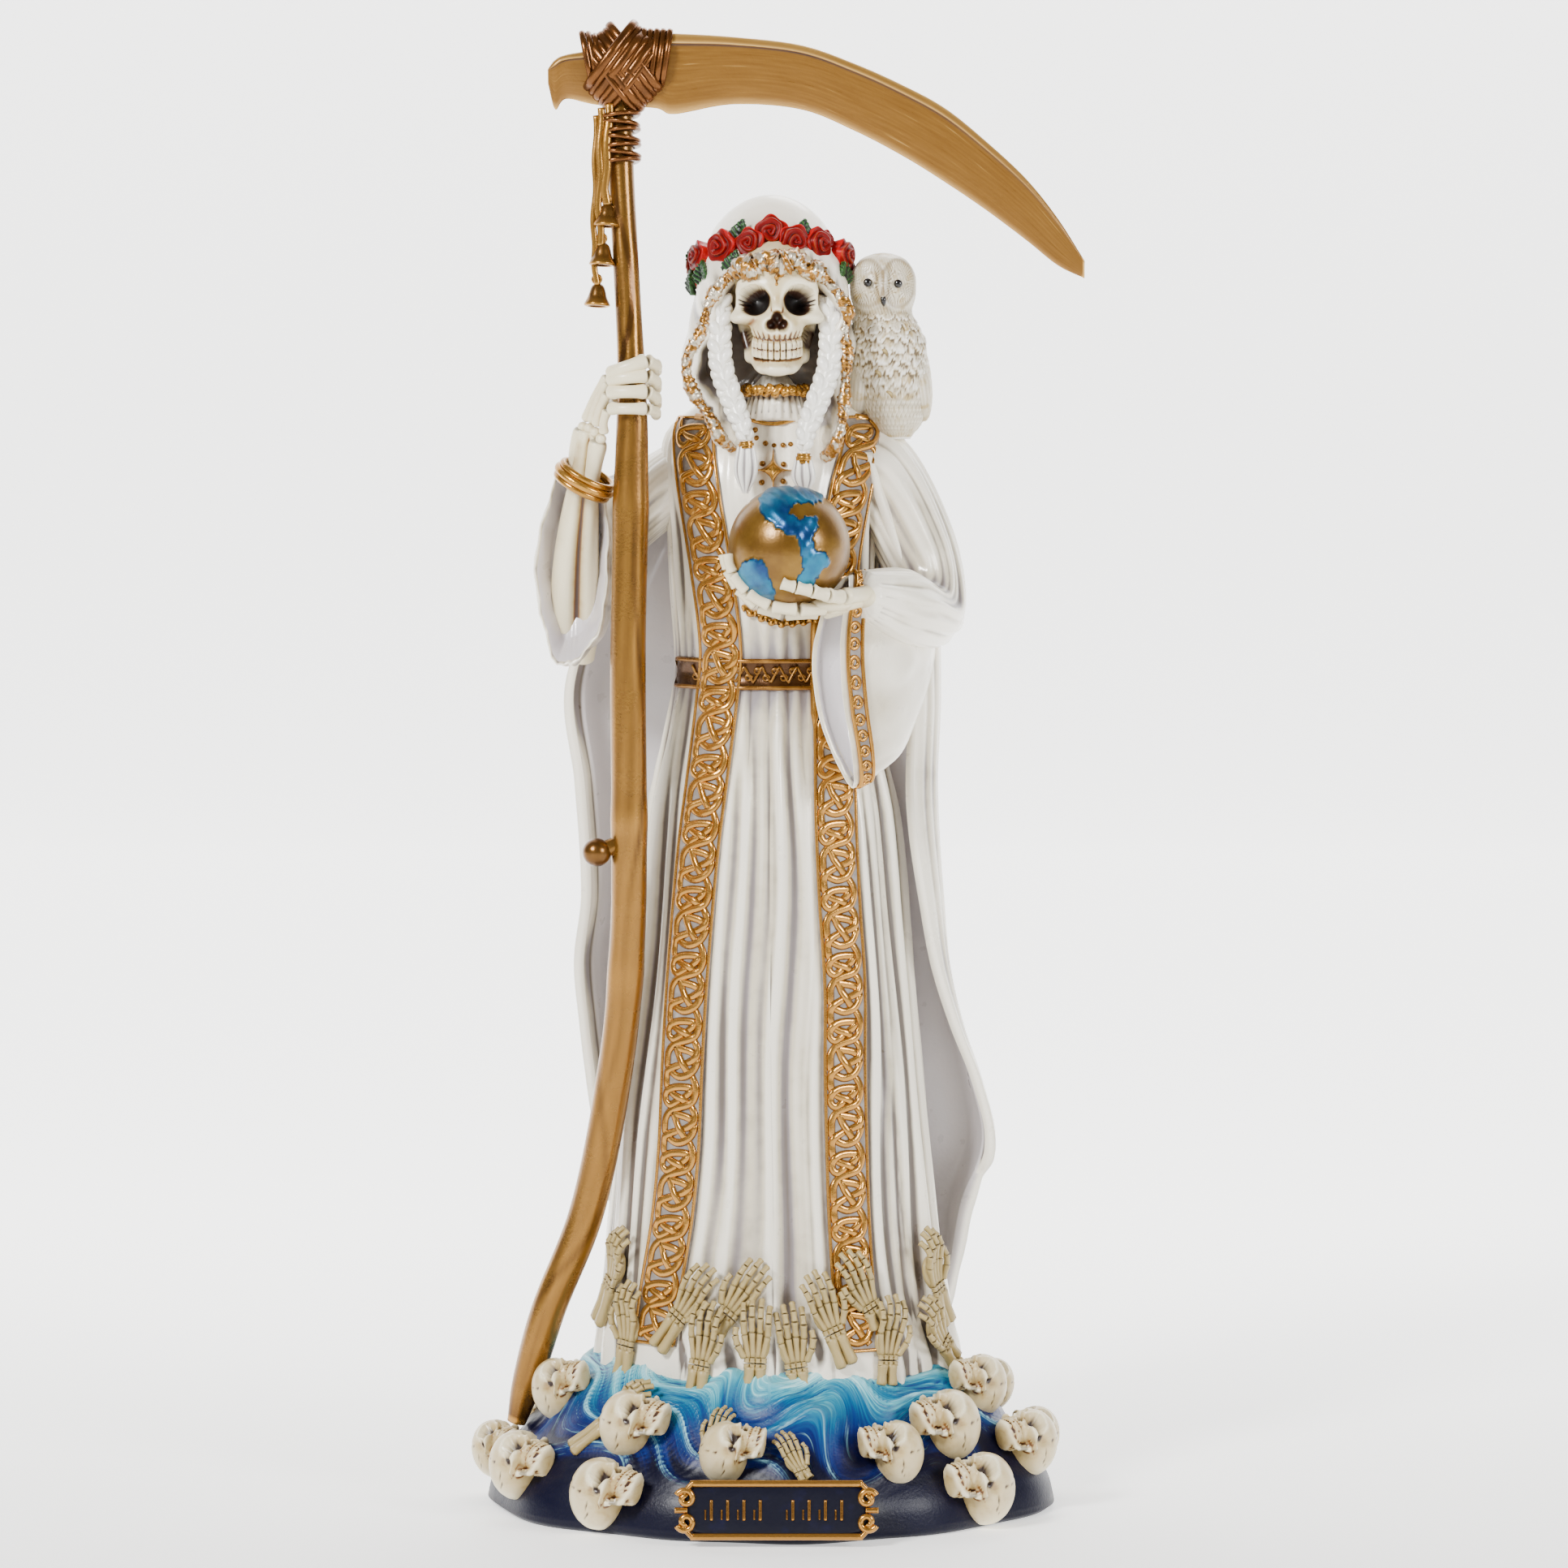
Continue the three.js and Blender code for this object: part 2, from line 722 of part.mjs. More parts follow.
// The owl on her left shoulder.
function owl() {
  const rows = [
    [32.5, -1, 294, 4.5, 0, 0, 0, 4.5, 0],
    [35.5, -2, 301, 5.8, 0, 0, 0, 5.5, 0],
    [33, -3.5, 313, 9.4, 0, 0, 0, 8, 0],
    [32, -4, 323, 9.6, 0, 0, 0, 8.4, 0],
    [31, -4, 329.5, 7.4, 0, 0, 0, 7, 0],
    [30.8, -5, 336, 8.8, 0, 0, 0, 8.4, 0],
    [30.8, -5, 342, 8.8, 0, 0, 0, 8, 0],
    [30.8, -4.5, 347, 5, 0, 0, 0, 5, 0],
  ];
  const body = ellipses(rows, 9, 8);
  const wing = (x, tilt) =>
    ellipsoid(3.2 * grow, 6 * grow, 12.5 * grow, 6, 4)
      .rotate([0, tilt, 0])
      .translate(fig(x, -2, 313).toArray());
  const bead = (x, z, size, height) =>
    solid(new THREE.OctahedronGeometry(1))
      .scale([size, size, height])
      .translate(fig(x, -12.8, z).toArray());
  const face = [bead(28, 339.5, 1.5, 1.5), bead(34.2, 339.5, 1.5, 1.5), bead(31, 335.3, 1.2, 2)];
  return [body, wing(40.6, -8), wing(25, 6), ...face];
}

// The globe and the hand of bones under it. Fingers are given in radii of the globe.
const globeMiddle = fig(5, -42, 266.8);
const fingerPaths = [
  [[1.45, 0.5, -0.72], [0.74, -0.46, -0.76], [0.28, -0.78, -0.66], [-0.12, -0.85, -0.56]],
  [[1.45, 0.5, -0.8], [0.28, -0.37, -0.96], [-0.46, -0.39, -0.87], [-0.9, -0.34, -0.42], [-0.98, -0.3, -0.1]],
  [[1.45, 0.5, -0.88], [0.22, 0.06, -1.04], [-0.5, 0, -0.92], [-0.94, 0, -0.46], [-1.03, 0, -0.15]],
  [[1.45, 0.5, -0.84], [0.18, 0.42, -0.95], [-0.46, 0.42, -0.84], [-0.83, 0.4, -0.46]],
];

function globe() {
  const ball = solid(new THREE.SphereGeometry(globeRadius, 13, 7));
  const fingers = fingerPaths.map((path) => {
    const points = path.map(([x, y, z]) =>
      new THREE.Vector3(x, y, z).multiplyScalar(globeRadius).add(globeMiddle),
    );
    return bar(points, points.map((p, k) => (k === 0 ? 3.2 : 2) * grow), 3, 4);
  });
  return [ball.translate(globeMiddle.toArray()), ...fingers];
}

// The scythe's shaft runs from the base through the fist to the top.
const footAngle = degrees(-84);
const footInward = 0.1;
const scytheFoot = basePoint(footAngle, footInward).add(new THREE.Vector3(0, 0, 5));
const gripHeight = 310;
const grip = fig(-37.6, -30, gripHeight);
const shaftPoints = [
  scytheFoot,
  mixed(scytheFoot, fig(-50.5, -15, 84), 0.5).add(new THREE.Vector3(-1.5, 0, 0)),
  fig(-50.5, -15, 84),
  fig(-42.6, -20, 124),
  fig(-39.3, -25, 158),
  fig(-38.6, -28, 192),
  fig(-38.8, -29.5, 235),
  fig(-37.9, -30, 280),
  grip,
  fig(-39, -28.5, 340),
  fig(-40.6, -26.5, 372),
  fig(-40.6, -25, 404),
];

function shaft(extra, along) {
  const count = shaftPoints.length;
  const radii = shaftPoints.map((p, k) => {
    const share = k / (count - 1);
    const taper = mix(shaftRadius, shaftTopRadius, smooth(share, 0.6, 0.8));
    return taper * (k === 0 ? 0.55 : 1) + extra;
  });
  return bar(shaftPoints, radii, 7, along);
}

// The fist: four fingers that close round the front of the shaft, and the bones of the wrist.
const knuckleLift = [6.4, 2.4, -1.6, -5.8];
const wrist = fig(-48.5, -27, 288);

function fist() {
  const fingerRadius = 1.9 * grow;
  const reach = shaftTopRadius + 1 + clearance + fingerRadius;
  const bearings = [205, 250, 290, 330, 370];
  const onRing = (bearing, rise) => {
    const angle = degrees(bearing);
    return new THREE.Vector3(reach * Math.cos(angle), reach * Math.sin(angle), rise).add(grip);
  };
  const fingers = knuckleLift.map((rise, k) => {
    const start = wrist.clone().add(new THREE.Vector3(1.6 * k - 2, -0.9 * k, -0.5 * k));
    const around = bearings.map((bearing, step) => onRing(bearing, (rise + 0.3 * step) * grow));
    const points = [start, mixed(start, around[0], 0.5), ...around];
    return bar(points, [2, 1.6, 2, 1.8, 1.9, 1.7, 1.3].map((r) => r * grow), 4, 5);
  });
  const thumbPath = [170, 125, 85, 50].map((bearing, step) => onRing(bearing, -5 + 2.4 * step));
  const thumb = bar([wrist, ...thumbPath], [2.2, 2, 1.9, 1.8, 1.4], 4, 4);
  const forearm = [
    [-1.8, 1.2],
    [2.2, -0.6],
  ].map(([x, y]) =>
    bar(
      [
        wrist.clone().add(new THREE.Vector3(x, y, 2.3 + 0.2 * x)),
        fig(-50.5 + x, -23 + y, 275),
        fig(-53.5 + x * 0.6, -17 + y, 262),
        fig(-54 + x * 0.5, -12 + 0.4 * y, 248 + 0.3 * x),
      ],
      [2.7, 2.4, 2.6, 3.4],
      4,
      3,
    ),
  );
  const bangle = solid(new THREE.TorusGeometry(7.2 * grow, 1.8 * grow, 4, 9))
    .rotate([12, 28, 0])
    .translate(fig(-50.6, -24.6, 283.5).toArray());
  return [...fingers, thumb, ...forearm, bangle];
}

// A flat hand of bones, wrist at the origin and fingers along +Y, for the waves and the hem.
function boneHand(armLength, thumbSide) {
  const arm = armLength / handLength;
  const outline = [
    // across and along, in lengths of the hand: forearm, thumb, four fingers
    [0.11, -arm],
    [0.09, 0.04],
    [0.34, 0.5],
    [0.2, 0.4],
    [0.27, 0.93],
    [0.11, 0.5],
    [0.09, 1.02],
    [0, 0.5],
    [-0.1, 1],
    [-0.11, 0.48],
    [-0.28, 0.86],
    [-0.09, 0.04],
    [-0.11, -arm],
  ];
  const corners = outline.map(([x, y]) =>
    new THREE.Vector2(x * thumbSide, y).multiplyScalar(handLength),
  );
  const depth = 0.24 * handLength;
  return solid(
    new THREE.ExtrudeGeometry(new THREE.Shape(corners), { depth, bevelEnabled: false }),
  ).translate([0, 0, -0.55 * depth]);
}

// The hands on the hem: place across, height, tilt from upright, length of the forearm, thumb side.
const hemHands = [
  [-42.5, 62, 24, 12, 1],
  [-38.5, 46, 4, 8, -1],
  [-25, 55.5, 34, 10, 1],
  [-12, 57, 36, 5, -1],
  [-18.6, 43, 8, 10, 1],
  [-4, 44, 2, 5, -1],
  [7, 42.5, -8, 5, 1],
  [17, 52, -22, 9, 1],
  [27, 58, -26, 5, -1],
  [31, 43.5, 6, 6, 1],
  [43.5, 61, -18, 10, 1],
  [46, 46, -40, 6, -1],
];
// The hands in the waves: bearing, share in from the rim, tilt from upright, forearm, thumb side.
const waveHands = [
  [-52, 0.22, 30, 12, 1],
  [-17, 0.24, 22, 3, -1],
  [8, 0.2, -35, 3, 1],
  [165, 0.38, 10, 5, 1],
];

function hands() {
  const made = (origin, outWay, tilt, armLength, thumb) => {
    const across = new THREE.Vector3(-outWay.y, outWay.x, 0).normalize();
    const up = outWay.clone().cross(across);
    const way = up
      .multiplyScalar(Math.cos(degrees(tilt)))
      .addScaledVector(across, Math.sin(degrees(tilt)));
    return placed(boneHand(armLength, thumb), origin, way, outWay);
  };
  const onHem = hemHands.map(([x, z, tilt, arm, thumb]) => {
    const height = carvedWater + (z - carvedWater);
    const angle = gownAngle(x, height);
    const out = new THREE.Vector3(Math.sin(angle) * 0.8, -Math.cos(angle), 0.12).normalize();
    return made(gownPoint(angle, height, 1), out, tilt, arm, thumb);
  });
  const inWaves = waveHands.map(([bearing, inward, tilt, arm, thumb]) => {
    const angle = degrees(bearing);
    const out = new THREE.Vector3(Math.sin(angle), -Math.cos(angle), 0.9).normalize();
    return made(basePoint(angle, inward).addScaledVector(out, 1), out, tilt, arm, thumb);
  });
  return [...onHem, ...inWaves];
}

// Small ornaments on the chest: the star and the collar ring.
function chestOrnaments() {
  const star = new THREE.Shape();
  const points = 8;
  for (let k = 0; k < points; k++) {
    const radius = (k % 2 ? 1 : 4.4 + (k % 4 ? 0 : 0.8)) * grow;
    const angle = (k / points) * turn + Math.PI / 2;
    const corner = [radius * Math.cos(angle), radius * Math.sin(angle)];
    if (k === 0) star.moveTo(...corner);
    else star.lineTo(...corner);
  }
  const flat = solid(new THREE.ExtrudeGeometry(star, { depth: 4 * grow, bevelEnabled: false }));
  const at = gownPoint(0, 287, -2.6);
  const collar = ellipses(
    [
      [1.2, -9, 303, 9.5, 0, 0, 0, 9, -2],
      [1.2, -10, 306, 8.5, 0, 0, 0, 9, -2],
      [1.2, -10, 311, 8, 0, 0, 0, 8, -1],
      [1.2, -10.5, 313, 10, 0, 0, 0, 9.5, -1],
    ],
    12,
    3,
    (share, angle) => 1 + 0.06 * Math.cos(6 * angle),
  );
  return [placed(flat, at, new THREE.Vector3(0, 0, 1), new THREE.Vector3(0, -1, 0.25)), collar];
}

// The blade: a row has the place along it, its upper and lower edge, and its thickness, as shares
// of the blade's length, width and thickness. The back is thick and the edge below is thin.
const bladeMiddle = fig(-40.6, -26, 394);
const bladeRows = [
  [-0.161, 0.08, -0.12, 0.5],
  [-0.145, 0.2, -0.46, 0.9],
  [-0.12, 0.27, -0.32, 1],
  [-0.05, 0.35, -0.4, 1],
  [0.075, 0.56, -0.44, 1],
  [0.12, 0.555, -0.52, 1],
  [0.25, 0.51, -0.39, 1],
  [0.4, 0.4, -0.46, 0.95],
  [0.52, 0.15, -0.75, 0.9],
  [0.63, -0.15, -1.1, 0.85],
  [0.72, -0.45, -1.44, 0.8],
  [0.81, -0.89, -1.81, 0.75],
  [0.9, -1.4, -2.22, 0.65],
  [0.97, -1.93, -2.56, 0.5],
  [1.03, -2.5, -2.74, 0.25],
];

function blade() {
  return loft(
    (share, angle) => {
      const row = Math.round(share * (bladeRows.length - 1));
      const [along, upper, lower, thick] = bladeRows[row];
      const half = (bladeThickness / 2) * thick;
      const section = [
        [upper, -0.5],
        [mix(upper, lower, 0.14), -1],
        [lower, -0.25],
        [lower, 0.25],
        [mix(upper, lower, 0.14), 1],
        [upper, 0.5],
      ];
      const [rise, out] = section[Math.round((angle / turn) * section.length)];
      const offset = new THREE.Vector3(bladeLength * along, half * out, bladeWidth * rise);
      return offset.add(bladeMiddle);
    },
    6,
    bladeRows.length - 1,
  );
}

// The lashing: turns of strap across the joint and round the shaft, and bells that hang from it.
function lashing() {
  const knot = ellipses(
    [
      [-40.6, -26, 385, 6, 0, 1, 0, 5.5, 0],
      [-41, -26, 389, 8, 0, 1, 0, 6.5, 0],
      [-41.5, -26, 395, 9.5, 0, 0, 0, 7, 0],
      [-39, -26, 401, 11.5, 0, 0, 0, 6, 0],
      [-38.5, -26, 406, 11, 0, 0, 0, 4.5, 0],
    ],
    10,
    4,
    (share, angle) => 1 + 0.05 * Math.cos(5 * angle + 9 * share),
  );
  const coil = ellipses(
    [-1, 1, -1, 1, -1, 1, -1].map((out, k) => {
      const radius = 4.4 + 0.7 * out;
      return [-40.7, -26, 371 + 2.2 * k, radius, 0, 0.8, 0, radius, 0];
    }),
    8,
    6,
  );
  const bellProfile = [[0, 0], [3.6, 0], [2.6, 2.4], [1.9, 5.4], [0, 6.6]];
  const bells = [[-44.4, 353], [-45.6, 342.5], [-47, 331.5]].map(([x, z]) => {
    const profile = bellProfile.map(([r, h]) => new THREE.Vector2(r, h));
    return solid(new THREE.LatheGeometry(profile, 6)).rotate([90, 0, 0]).translate(fig(x, -29.4, z).toArray());
  });
  const straps = [[-43.6, -45.2], [-45.8, -46.6]].map(([top, low]) =>
    bar([fig(top, -29.6, 384), fig(mix(top, low, 0.5), -30, 368), fig(low, -29.6, 338)], [1.5, 1.3, 1.2], 4, 3),
  );
  return [knot, coil, ...bells, ...straps];
}

function knob() {
  const root = fig(-39, -27.5, 186.5);
  const tip = fig(-47.4, -29.5, 183.4);
  const stem = bar([root, tip], [2.9, 2.6], 6, 1);
  return [stem, ellipsoid(3.8, 3.8, 3.8, 7, 4).translate(tip.toArray())];
}

function statueSolid() {
  const solids = [
    baseMound(),
    namePlate(),
    ...baseSkulls(),
    gown(),
    ...sides.map(band),
    belt(),
    cloak(),
    ellipses(rightSleeve, 12, 6, gathered(5)),
    ellipses(leftArm, 10, 6, gathered(5)),
    ellipses(leftSleeve, 10, 5, gathered(5)),
    ellipses(hoodRows, 16, 7, cowl),
    ...faceSkull(),
    braid(1),
    braid(-1),
    ...crown(),
    ...owl(),
    ...globe(),
    ...fist(),
    ...hands(),
    ...chestOrnaments(),
  ];
  return outerShell(joined(solids).subtract(shaft(clearance, 12)).simplify(0.12));
}

function scytheSolid() {
  return joined([shaft(0, 14), blade(), ...lashing(), ...knob()]).simplify(0.05);
}

function mesh(name, made, material) {
  const data = made.getMesh();
  const geometry = new THREE.BufferGeometry();
  geometry.setAttribute("position", new THREE.BufferAttribute(data.vertProperties, 3));
  geometry.setIndex(new THREE.BufferAttribute(data.triVerts, 1));
  geometry.computeVertexNormals();
  const named = new THREE.Mesh(geometry, material);
  named.name = name;
  return named;
}

const pearlPaint = new THREE.MeshStandardMaterial({ color: "#e9e4da", roughness: 0.35, metalness: 0 });
const goldPaint = new THREE.MeshStandardMaterial({ color: "#b08236", roughness: 0.35, metalness: 0.8 });

const figure = new THREE.Group();
figure.add(mesh("statue", statueSolid(), pearlPaint));
figure.add(mesh("scythe", scytheSolid(), goldPaint));

export default figure;
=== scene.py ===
import math

import bpy
import numpy as np
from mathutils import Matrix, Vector


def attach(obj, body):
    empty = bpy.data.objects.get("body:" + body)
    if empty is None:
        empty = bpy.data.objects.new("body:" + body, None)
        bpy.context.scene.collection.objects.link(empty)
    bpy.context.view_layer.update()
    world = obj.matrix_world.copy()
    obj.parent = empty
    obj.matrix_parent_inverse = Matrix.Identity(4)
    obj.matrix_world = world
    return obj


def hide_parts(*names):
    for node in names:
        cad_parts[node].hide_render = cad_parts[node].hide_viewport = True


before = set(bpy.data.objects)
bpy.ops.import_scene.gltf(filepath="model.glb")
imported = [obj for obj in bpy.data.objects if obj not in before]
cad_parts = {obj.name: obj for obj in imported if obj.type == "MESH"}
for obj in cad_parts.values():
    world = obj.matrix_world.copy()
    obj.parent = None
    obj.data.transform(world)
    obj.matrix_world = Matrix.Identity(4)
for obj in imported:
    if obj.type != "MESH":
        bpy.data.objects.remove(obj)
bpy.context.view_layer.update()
turn = 2 * math.pi


# shared shape tools

def unit(v):
    return v / np.maximum(np.linalg.norm(v, axis=-1, keepdims=True), 1e-9)


def smooth(x, start, end):  # eases from 0 to 1 between two places
    t = np.clip((x - start) / (end - start), 0, 1)
    return t * t * (3 - 2 * t)


def hump(x, middle, width):  # 1 at the middle, fading over the width
    return np.exp(-(((x - middle) / width) ** 2))


def around(count):
    return np.arange(count) * (turn / count)


def between(rows, at):
    # smooth values between the rows of a table, whose first column is the place
    rows = np.asarray(rows, float)
    place, values = rows[:, 0], rows[:, 1:]
    at = np.clip(np.asarray(at, float), place[0], place[-1])
    i = np.clip(np.searchsorted(place, at, side="right") - 1, 0, len(place) - 2)
    before, after = np.maximum(i - 1, 0), np.minimum(i + 2, len(place) - 1)
    step = (place[i + 1] - place[i])[..., None]
    t = ((at - place[i])[..., None]) / step
    a, b = values[i], values[i + 1]
    slopeA = (b - values[before]) / (place[i + 1] - place[before])[..., None] * step
    slopeB = (values[after] - a) / (place[after] - place[i])[..., None] * step
    return (
        a * (2 * t**3 - 3 * t**2 + 1)
        + b * (3 * t**2 - 2 * t**3)
        + slopeA * (t**3 - 2 * t**2 + t)
        + slopeB * (t**3 - t**2)
    )


def value(rows, at):  # the one value of a two-column table
    return between(rows, at)[..., 0]


def through(points, steps):  # a smooth path through points
    rows = np.column_stack([np.arange(len(points)), np.asarray(points, float)])
    return between(rows, np.linspace(0, len(points) - 1, steps))


def skin(grid, paint=0.0, ends="pole"):
    # A closed skin over rings of points. pole closes each end on its middle, strip closes a ring
    # that goes out and comes back, and loop joins the last ring to the first.
    rows, cols = grid.shape[:2]
    index = np.arange(rows * cols).reshape(rows, cols)
    rings = np.vstack([index, index[:1]]) if ends == "loop" else index
    beside = np.roll(rings, -1, axis=1)
    quads = np.stack([rings[:-1], beside[:-1], beside[1:], rings[1:]], -1).reshape(-1, 4)
    faces = [quads[:, [0, 1, 2]], quads[:, [0, 2, 3]]]
    points = grid.reshape(-1, 3)
    paint = np.array(np.broadcast_to(paint, (rows, cols)), float)
    poles = paint[[0, -1]].mean(axis=1)
    paint = paint.reshape(-1)
    if ends == "pole":
        points = np.vstack([points, grid[[0, -1]].mean(axis=1)])
        paint = np.append(paint, poles)
        low = np.full(cols, rows * cols)
        faces.append(np.stack([low, beside[0], rings[0]], -1))
        faces.append(np.stack([low + 1, rings[-1], beside[-1]], -1))
    if ends == "strip":
        k = np.arange(cols // 2 - 1)
        for ring, way in ((index[0], 1), (index[-1], -1)):
            a, b, c, d = ring[k], ring[k + 1], ring[cols - 2 - k], ring[cols - 1 - k]
            faces.append(np.stack([a, c, b], -1)[:, ::way])
            faces.append(np.stack([a, d, c], -1)[:, ::way])
    faces = np.vstack(faces)
    corner = points[faces]
    volume = np.einsum("ij,ij->", corner[:, 0], np.cross(corner[:, 1], corner[:, 2]))
    return points, faces if volume > 0 else faces[:, ::-1], paint


def swept(path, section, up, size=1.0, paint=0.0, ends="pole"):
    # A section carried along a path: point = path + size · (s · across + t · out).
    if ends == "loop":
        along = unit(np.roll(path, -1, axis=0) - np.roll(path, 1, axis=0))
    else:
        along = unit(np.gradient(path, axis=0))
    across = unit(np.cross(along, up))
    out = np.cross(across, along)
    size = np.broadcast_to(np.asarray(size, float).reshape(-1, 1, 1), (len(path), 1, 1))
    grid = path[:, None] + size * (
        section[None, :, :1] * across[:, None] + section[None, :, 1:] * out[:, None]
    )
    return skin(grid, paint, ends)


def oval(sides, wide=1.0, high=1.0):  # a round section
    t = around(sides)
    return np.stack([wide * np.cos(t), high * np.sin(t)], -1)


def tube(points, radii, sides, steps):
    # A round bar along points, with a radius for each point.
    rows = np.column_stack([np.arange(len(radii)), radii])
    size = value(rows, np.linspace(0, len(radii) - 1, steps))
    return swept(through(points, steps), oval(sides), np.array([0.0, -1, 0]), size)


def merged(forms):
    counts = np.cumsum([0] + [len(points) for points, _, _ in forms])
    return (
        np.vstack([points for points, _, _ in forms]),
        np.vstack([faces + shift for (_, faces, _), shift in zip(forms, counts)]),
        np.concatenate([paint for _, _, paint in forms]),
    )


def copies(form, turns, places):
    # One form at many places: point = place + turn · point.
    points, faces, paint = form
    put = np.einsum("nij,pj->npi", turns, points) + places[:, None]
    shift = np.arange(len(places))[:, None, None] * len(points)
    return put.reshape(-1, 3), (faces[None] + shift).reshape(-1, 3), np.tile(paint, len(places))


def axes(along, out):
    # Turns whose columns are across, along and out, for one or many directions.
    y = unit(np.asarray(along, float))
    x = unit(np.cross(y, np.asarray(out, float)))
    return np.stack([x, y, np.cross(x, y)], -1)


def hollows(points, faces, rounds):
    # How deep each point lies under the mean of its surroundings: (mean − point) · normal, in mm.
    start, end = faces.reshape(-1), np.roll(faces, -1, axis=1).reshape(-1)
    total = len(points)
    count = np.maximum(np.bincount(start, minlength=total), 1)
    corner = points[faces]
    flat = np.cross(corner[:, 1] - corner[:, 0], corner[:, 2] - corner[:, 0]).repeat(3, axis=0)
    normal = unit(np.stack([np.bincount(start, flat[:, k], total) for k in range(3)], -1))
    mean = points
    for _ in range(rounds):
        mean = np.stack([np.bincount(start, mean[end, k], total) / count for k in range(3)], -1)
    return np.einsum("ij,ij->i", mean - points, normal)


boneProfile = np.array([[0, 0.6], [0.06, 0.96], [0.2, 0.93], [0.5, 0.82], [0.8, 0.93], [0.94, 1.03],
                        [1, 0.62]])


def bones(starts, ends, radii, sides=6):
    # Straight bones with knuckled ends: radius = r · profile(share of the length), all at once.
    starts, ends = np.asarray(starts, float), np.asarray(ends, float)
    way = ends - starts
    radii = np.broadcast_to(radii, len(starts))
    t, r = boneProfile.T
    a = around(sides)
    joint = 0.6 * smooth(np.abs(2 * t - 1), 0.85, 1)[:, None]
    grid = np.stack(
        [r[:, None] * np.cos(a), np.broadcast_to(t[:, None], (len(t), sides)), r[:, None] * np.sin(a)], -1
    )
    side = np.where(np.abs(unit(way)[:, 1:2]) > 0.9, [[0.0, 0, 1]], [[0.0, 1, 0]])
    turns = axes(way, side)
    lengths = np.linalg.norm(way, axis=1)
    turns = turns * np.stack([radii, lengths, radii], -1)[:, None]
    return copies(skin(grid, joint), turns, starts)


def bone(points, radius, sides=12, steps=22):
    # One bone along a bent path, with knuckled ends and a waist.
    t = np.linspace(0, 1, steps)
    size = radius * (0.76 + 0.3 * np.abs(2 * t - 1) ** 3) * np.sqrt(1 - np.abs(2 * t - 1) ** 14 * 0.85)
    joint = 0.6 * smooth(np.abs(2 * t - 1), 0.86, 0.98)[:, None]
    return swept(through(points, steps), oval(sides), np.array([0.1, -1, 0.1]), size, joint)


def ellipseAt(table, share, angle, bulge=1.0):
    # A ring of a loft over ellipses: middle + p cos + q sin, with p and q read from the table.
    rows = np.column_stack([np.arange(len(table)), table])
    v = between(rows, share * (len(table) - 1))
    c, s = (np.cos(angle) * bulge)[..., None], (np.sin(angle) * bulge)[..., None]
    return v[..., :3] + v[..., 3:6] * c + v[..., 6:9] * s


def gridOf(columns, rows):  # shares of the length and angles for a loft
    return np.meshgrid(np.linspace(0, 1, rows), around(columns), indexing="ij")


def addPiece(name, forms, material, node="statue", rounds=(3, 30)):
    # nook and fold are the fine and the broad hollows in mm, below zero on ridges; the paints use them for
    # washes and painted shade in the hollows, and for painted highlights on the ridges.
    points, faces, paint = merged(forms)
    mesh = bpy.data.meshes.new(name)
    mesh.from_pydata(points * 0.001, [], faces)
    mesh.update()
    mesh.shade_smooth()
    fields = dict(paint=paint, nook=hollows(points, faces, rounds[0]), fold=hollows(points, faces, rounds[1]))
    for key, field in fields.items():
        mesh.attributes.new(key, "FLOAT", "POINT").data.foreach_set("value", field.astype(np.float32))
    piece = bpy.data.objects.new(name, mesh)
    bpy.context.scene.collection.objects.link(piece)
    mesh.materials.append(material)
    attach(piece, "root")
    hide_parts(node)
    print(f"{name}: {len(faces)} triangles")
    return piece


def addBrush(piece, way):  # the way of the brush strokes at each point of a mesh
    piece.data.attributes.new("brush", "FLOAT_VECTOR", "POINT").data.foreach_set("vector", way.ravel())


# paints

def linear(code):  # an sRGB hex colour as linear values
    parts = [int(code[k : k + 2], 16) / 255 for k in (1, 3, 5)]
    return [p / 12.92 if p <= 0.04045 else ((p + 0.055) / 1.055) ** 2.4 for p in parts] + [1]


def addNode(tree, kind, inputs=None, **settings):
    node = tree.nodes.new(kind)
    for key, setting in settings.items():
        setattr(node, key, setting)
    for key, source in (inputs or {}).items():
        if isinstance(source, bpy.types.NodeSocket):
            tree.links.new(source, node.inputs[key])
        else:
            node.inputs[key].default_value = source
    return node


